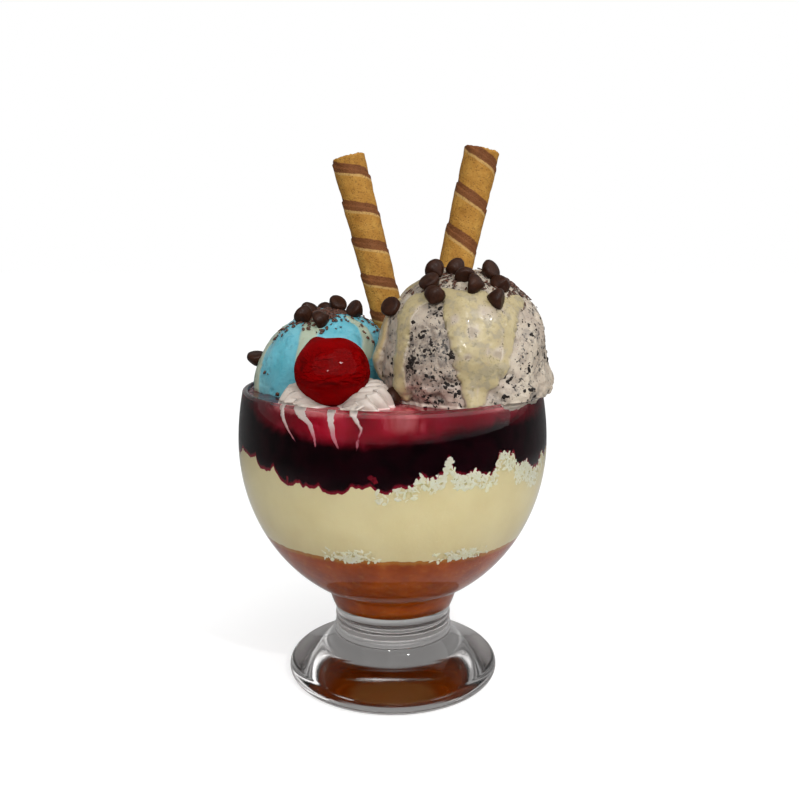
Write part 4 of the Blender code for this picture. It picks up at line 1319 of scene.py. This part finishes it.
def make_chips():
    """Moulded drops: broad and round below, drawn out to a bent tip, pressed a little into the ice cream."""
    material = chip_finish()
    dice = random.Random(11)
    profile = [(0.30, 0.0), (0.72, 0.0), (0.93, 0.05), (1.02, 0.15), (1.03, 0.28), (0.96, 0.42), (0.82, 0.55)]
    profile += [(0.63, 0.68), (0.43, 0.79), (0.25, 0.88), (0.12, 0.94)]
    azimuths = around(20)
    for number, node in enumerate(sorted(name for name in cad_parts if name.startswith("chip_"))):
        base, axis, height = chip_pose(node)
        centre = COOKIE.centre if "cookie" in node or "nestled" in node else BLUE.centre
        inward = (Vector(centre) - base).normalized()
        sunk = 1.7 * MM if "nestled" not in node else 0.6 * MM
        radius = 3.3 * MM
        height *= 0.95
        bend = Vector((dice.uniform(-1, 1), dice.uniform(-1, 1), 0)) * 0.35 * MM
        rings = []
        for width, share in profile:
            points = ring(azimuths, radius * width, height * share)
            points += np.array(bend) * share**2
            rings.append(points)
        rings = np.array(rings)
        rings *= 1 + 0.06 * roughness_at(rings, 2.4 * MM, 9.0 + number, 2)[..., None]
        turn = axis.to_track_quat("Z", "Y").to_matrix().to_4x4()
        place = Matrix.Translation(base + inward * sunk) @ turn
        tip = Vector((bend.x, bend.y, height))
        mesh = closed_surface("moulded_" + node, rings, (0, 0, 0.1 * MM), tuple(tip))
        mesh.transform(place)
        chip = new_piece("moulded_" + node, mesh, material)
        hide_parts(node)
        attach(chip, BODY)


# ---------------------------------------------------------------- stage


def make_stage():
    """A plain floor: nearly white to look at, and a soft grey in what the glass reflects of it."""
    mesh = bpy.data.meshes.new("floor")
    far = 6.0
    mesh.from_pydata([(-far, -far, 0), (far, -far, 0), (far, far, 0), (-far, far, 0)], [], [(0, 1, 2, 3)])

    def paint(nodes):
        seen = nodes.add("ShaderNodeLightPath", output="Is Camera Ray")
        far = nodes.add("ShaderNodeVectorMath", {"operation": "LENGTH"}, {0: nodes.place()}, output=1)
        far = far + (nodes.cloud(0.4, 2.0) - 0.5) * 0.1
        tone = nodes.ramp(far.above(0.32, 0.30), (0.0, (0.54, 0.54, 0.54)), (1.0, (0.13, 0.13, 0.13)))
        glow = nodes.ramp(far.above(0.32, 0.30), (0.0, (0.55, 0.55, 0.55)), (1.0, (0.92, 0.92, 0.92)))
        return {"Base Color": tone, "Emission Color": glow, "Emission Strength": seen}

    constants = {"Roughness": 0.9, "Specular IOR Level": 0.0}
    floor = new_piece("floor", mesh, finish("studio_floor", constants, paint))
    floor.location.z = -0.02 * MM


WORLD_LIGHT = 0.38
BACKDROP = 1.0
# Broad soft lights: where each stands, its width in degrees and its strength.
SUNS = {
    "soft_key": ((0.80, -0.60, 0.75), 100.0, 2.45),
    "soft_fill": ((-0.30, -0.85, 0.62), 75.0, 1.25),
}
# Lamps: place, width and watts; each looks at the sundae's middle.
LAMPS = {
    "glint_left": ((-0.10, -0.95, 0.42), 0.03, 2.0),
    "glint_right": ((0.45, -0.75, 0.75), 0.03, 3.0),
}
AIM = Vector((0.0, 0.0, 0.10))


def make_world():
    """A pale backdrop, and a dimmer soft light all round."""
    world = bpy.data.worlds.new("studio")
    bpy.context.scene.world = world
    world.use_nodes = True
    nodes = Nodes(world.node_tree)
    shine = world.node_tree.nodes["Background"]
    seen = nodes.add("ShaderNodeLightPath", output="Is Camera Ray")
    nodes.feed(shine.inputs["Strength"], seen * (BACKDROP - WORLD_LIGHT) + WORLD_LIGHT)
    shine.inputs["Color"].default_value = (1.0, 1.0, 1.0, 1.0)


def make_lamp(name, kind, place, energy):
    lamp = bpy.data.lights.new(name, kind)
    lamp.energy = energy
    made = bpy.data.objects.new(name, lamp)
    bpy.context.scene.collection.objects.link(made)
    made.location = place
    made.rotation_euler = (AIM - Vector(place)).to_track_quat("-Z", "Y").to_euler()
    return lamp


def make_lights():
    for name, (place, width, strength) in SUNS.items():
        make_lamp(name, "SUN", place, strength).angle = math.radians(width)
    for name, (place, width, watts) in LAMPS.items():
        lamp = make_lamp(name, "AREA", place, watts)
        lamp.shape = "SQUARE"
        lamp.size = width


def make_camera():
    camera = bpy.data.cameras.new("camera")
    camera.lens = 39.24
    camera.sensor_width = 36.0
    made = bpy.data.objects.new("camera", camera)
    bpy.context.scene.collection.objects.link(made)
    made.location = (0.0024, -0.3035, 0.1516)
    made.rotation_euler = (math.radians(90 - 9.61), 0.0, 0.0)
    bpy.context.scene.camera = made
    bpy.context.scene.view_settings.view_transform = "Standard"


# ---------------------------------------------------------------- the sundae

make_camera()
make_stage()
make_world()
make_lights()
make_glass()
berry_low, puree_top = make_layers()
make_wall_bits(berry_low, puree_top)
make_scoops()
make_sauces()
make_bits()
make_rosette()
make_cherry()
make_wafers()
make_chips()

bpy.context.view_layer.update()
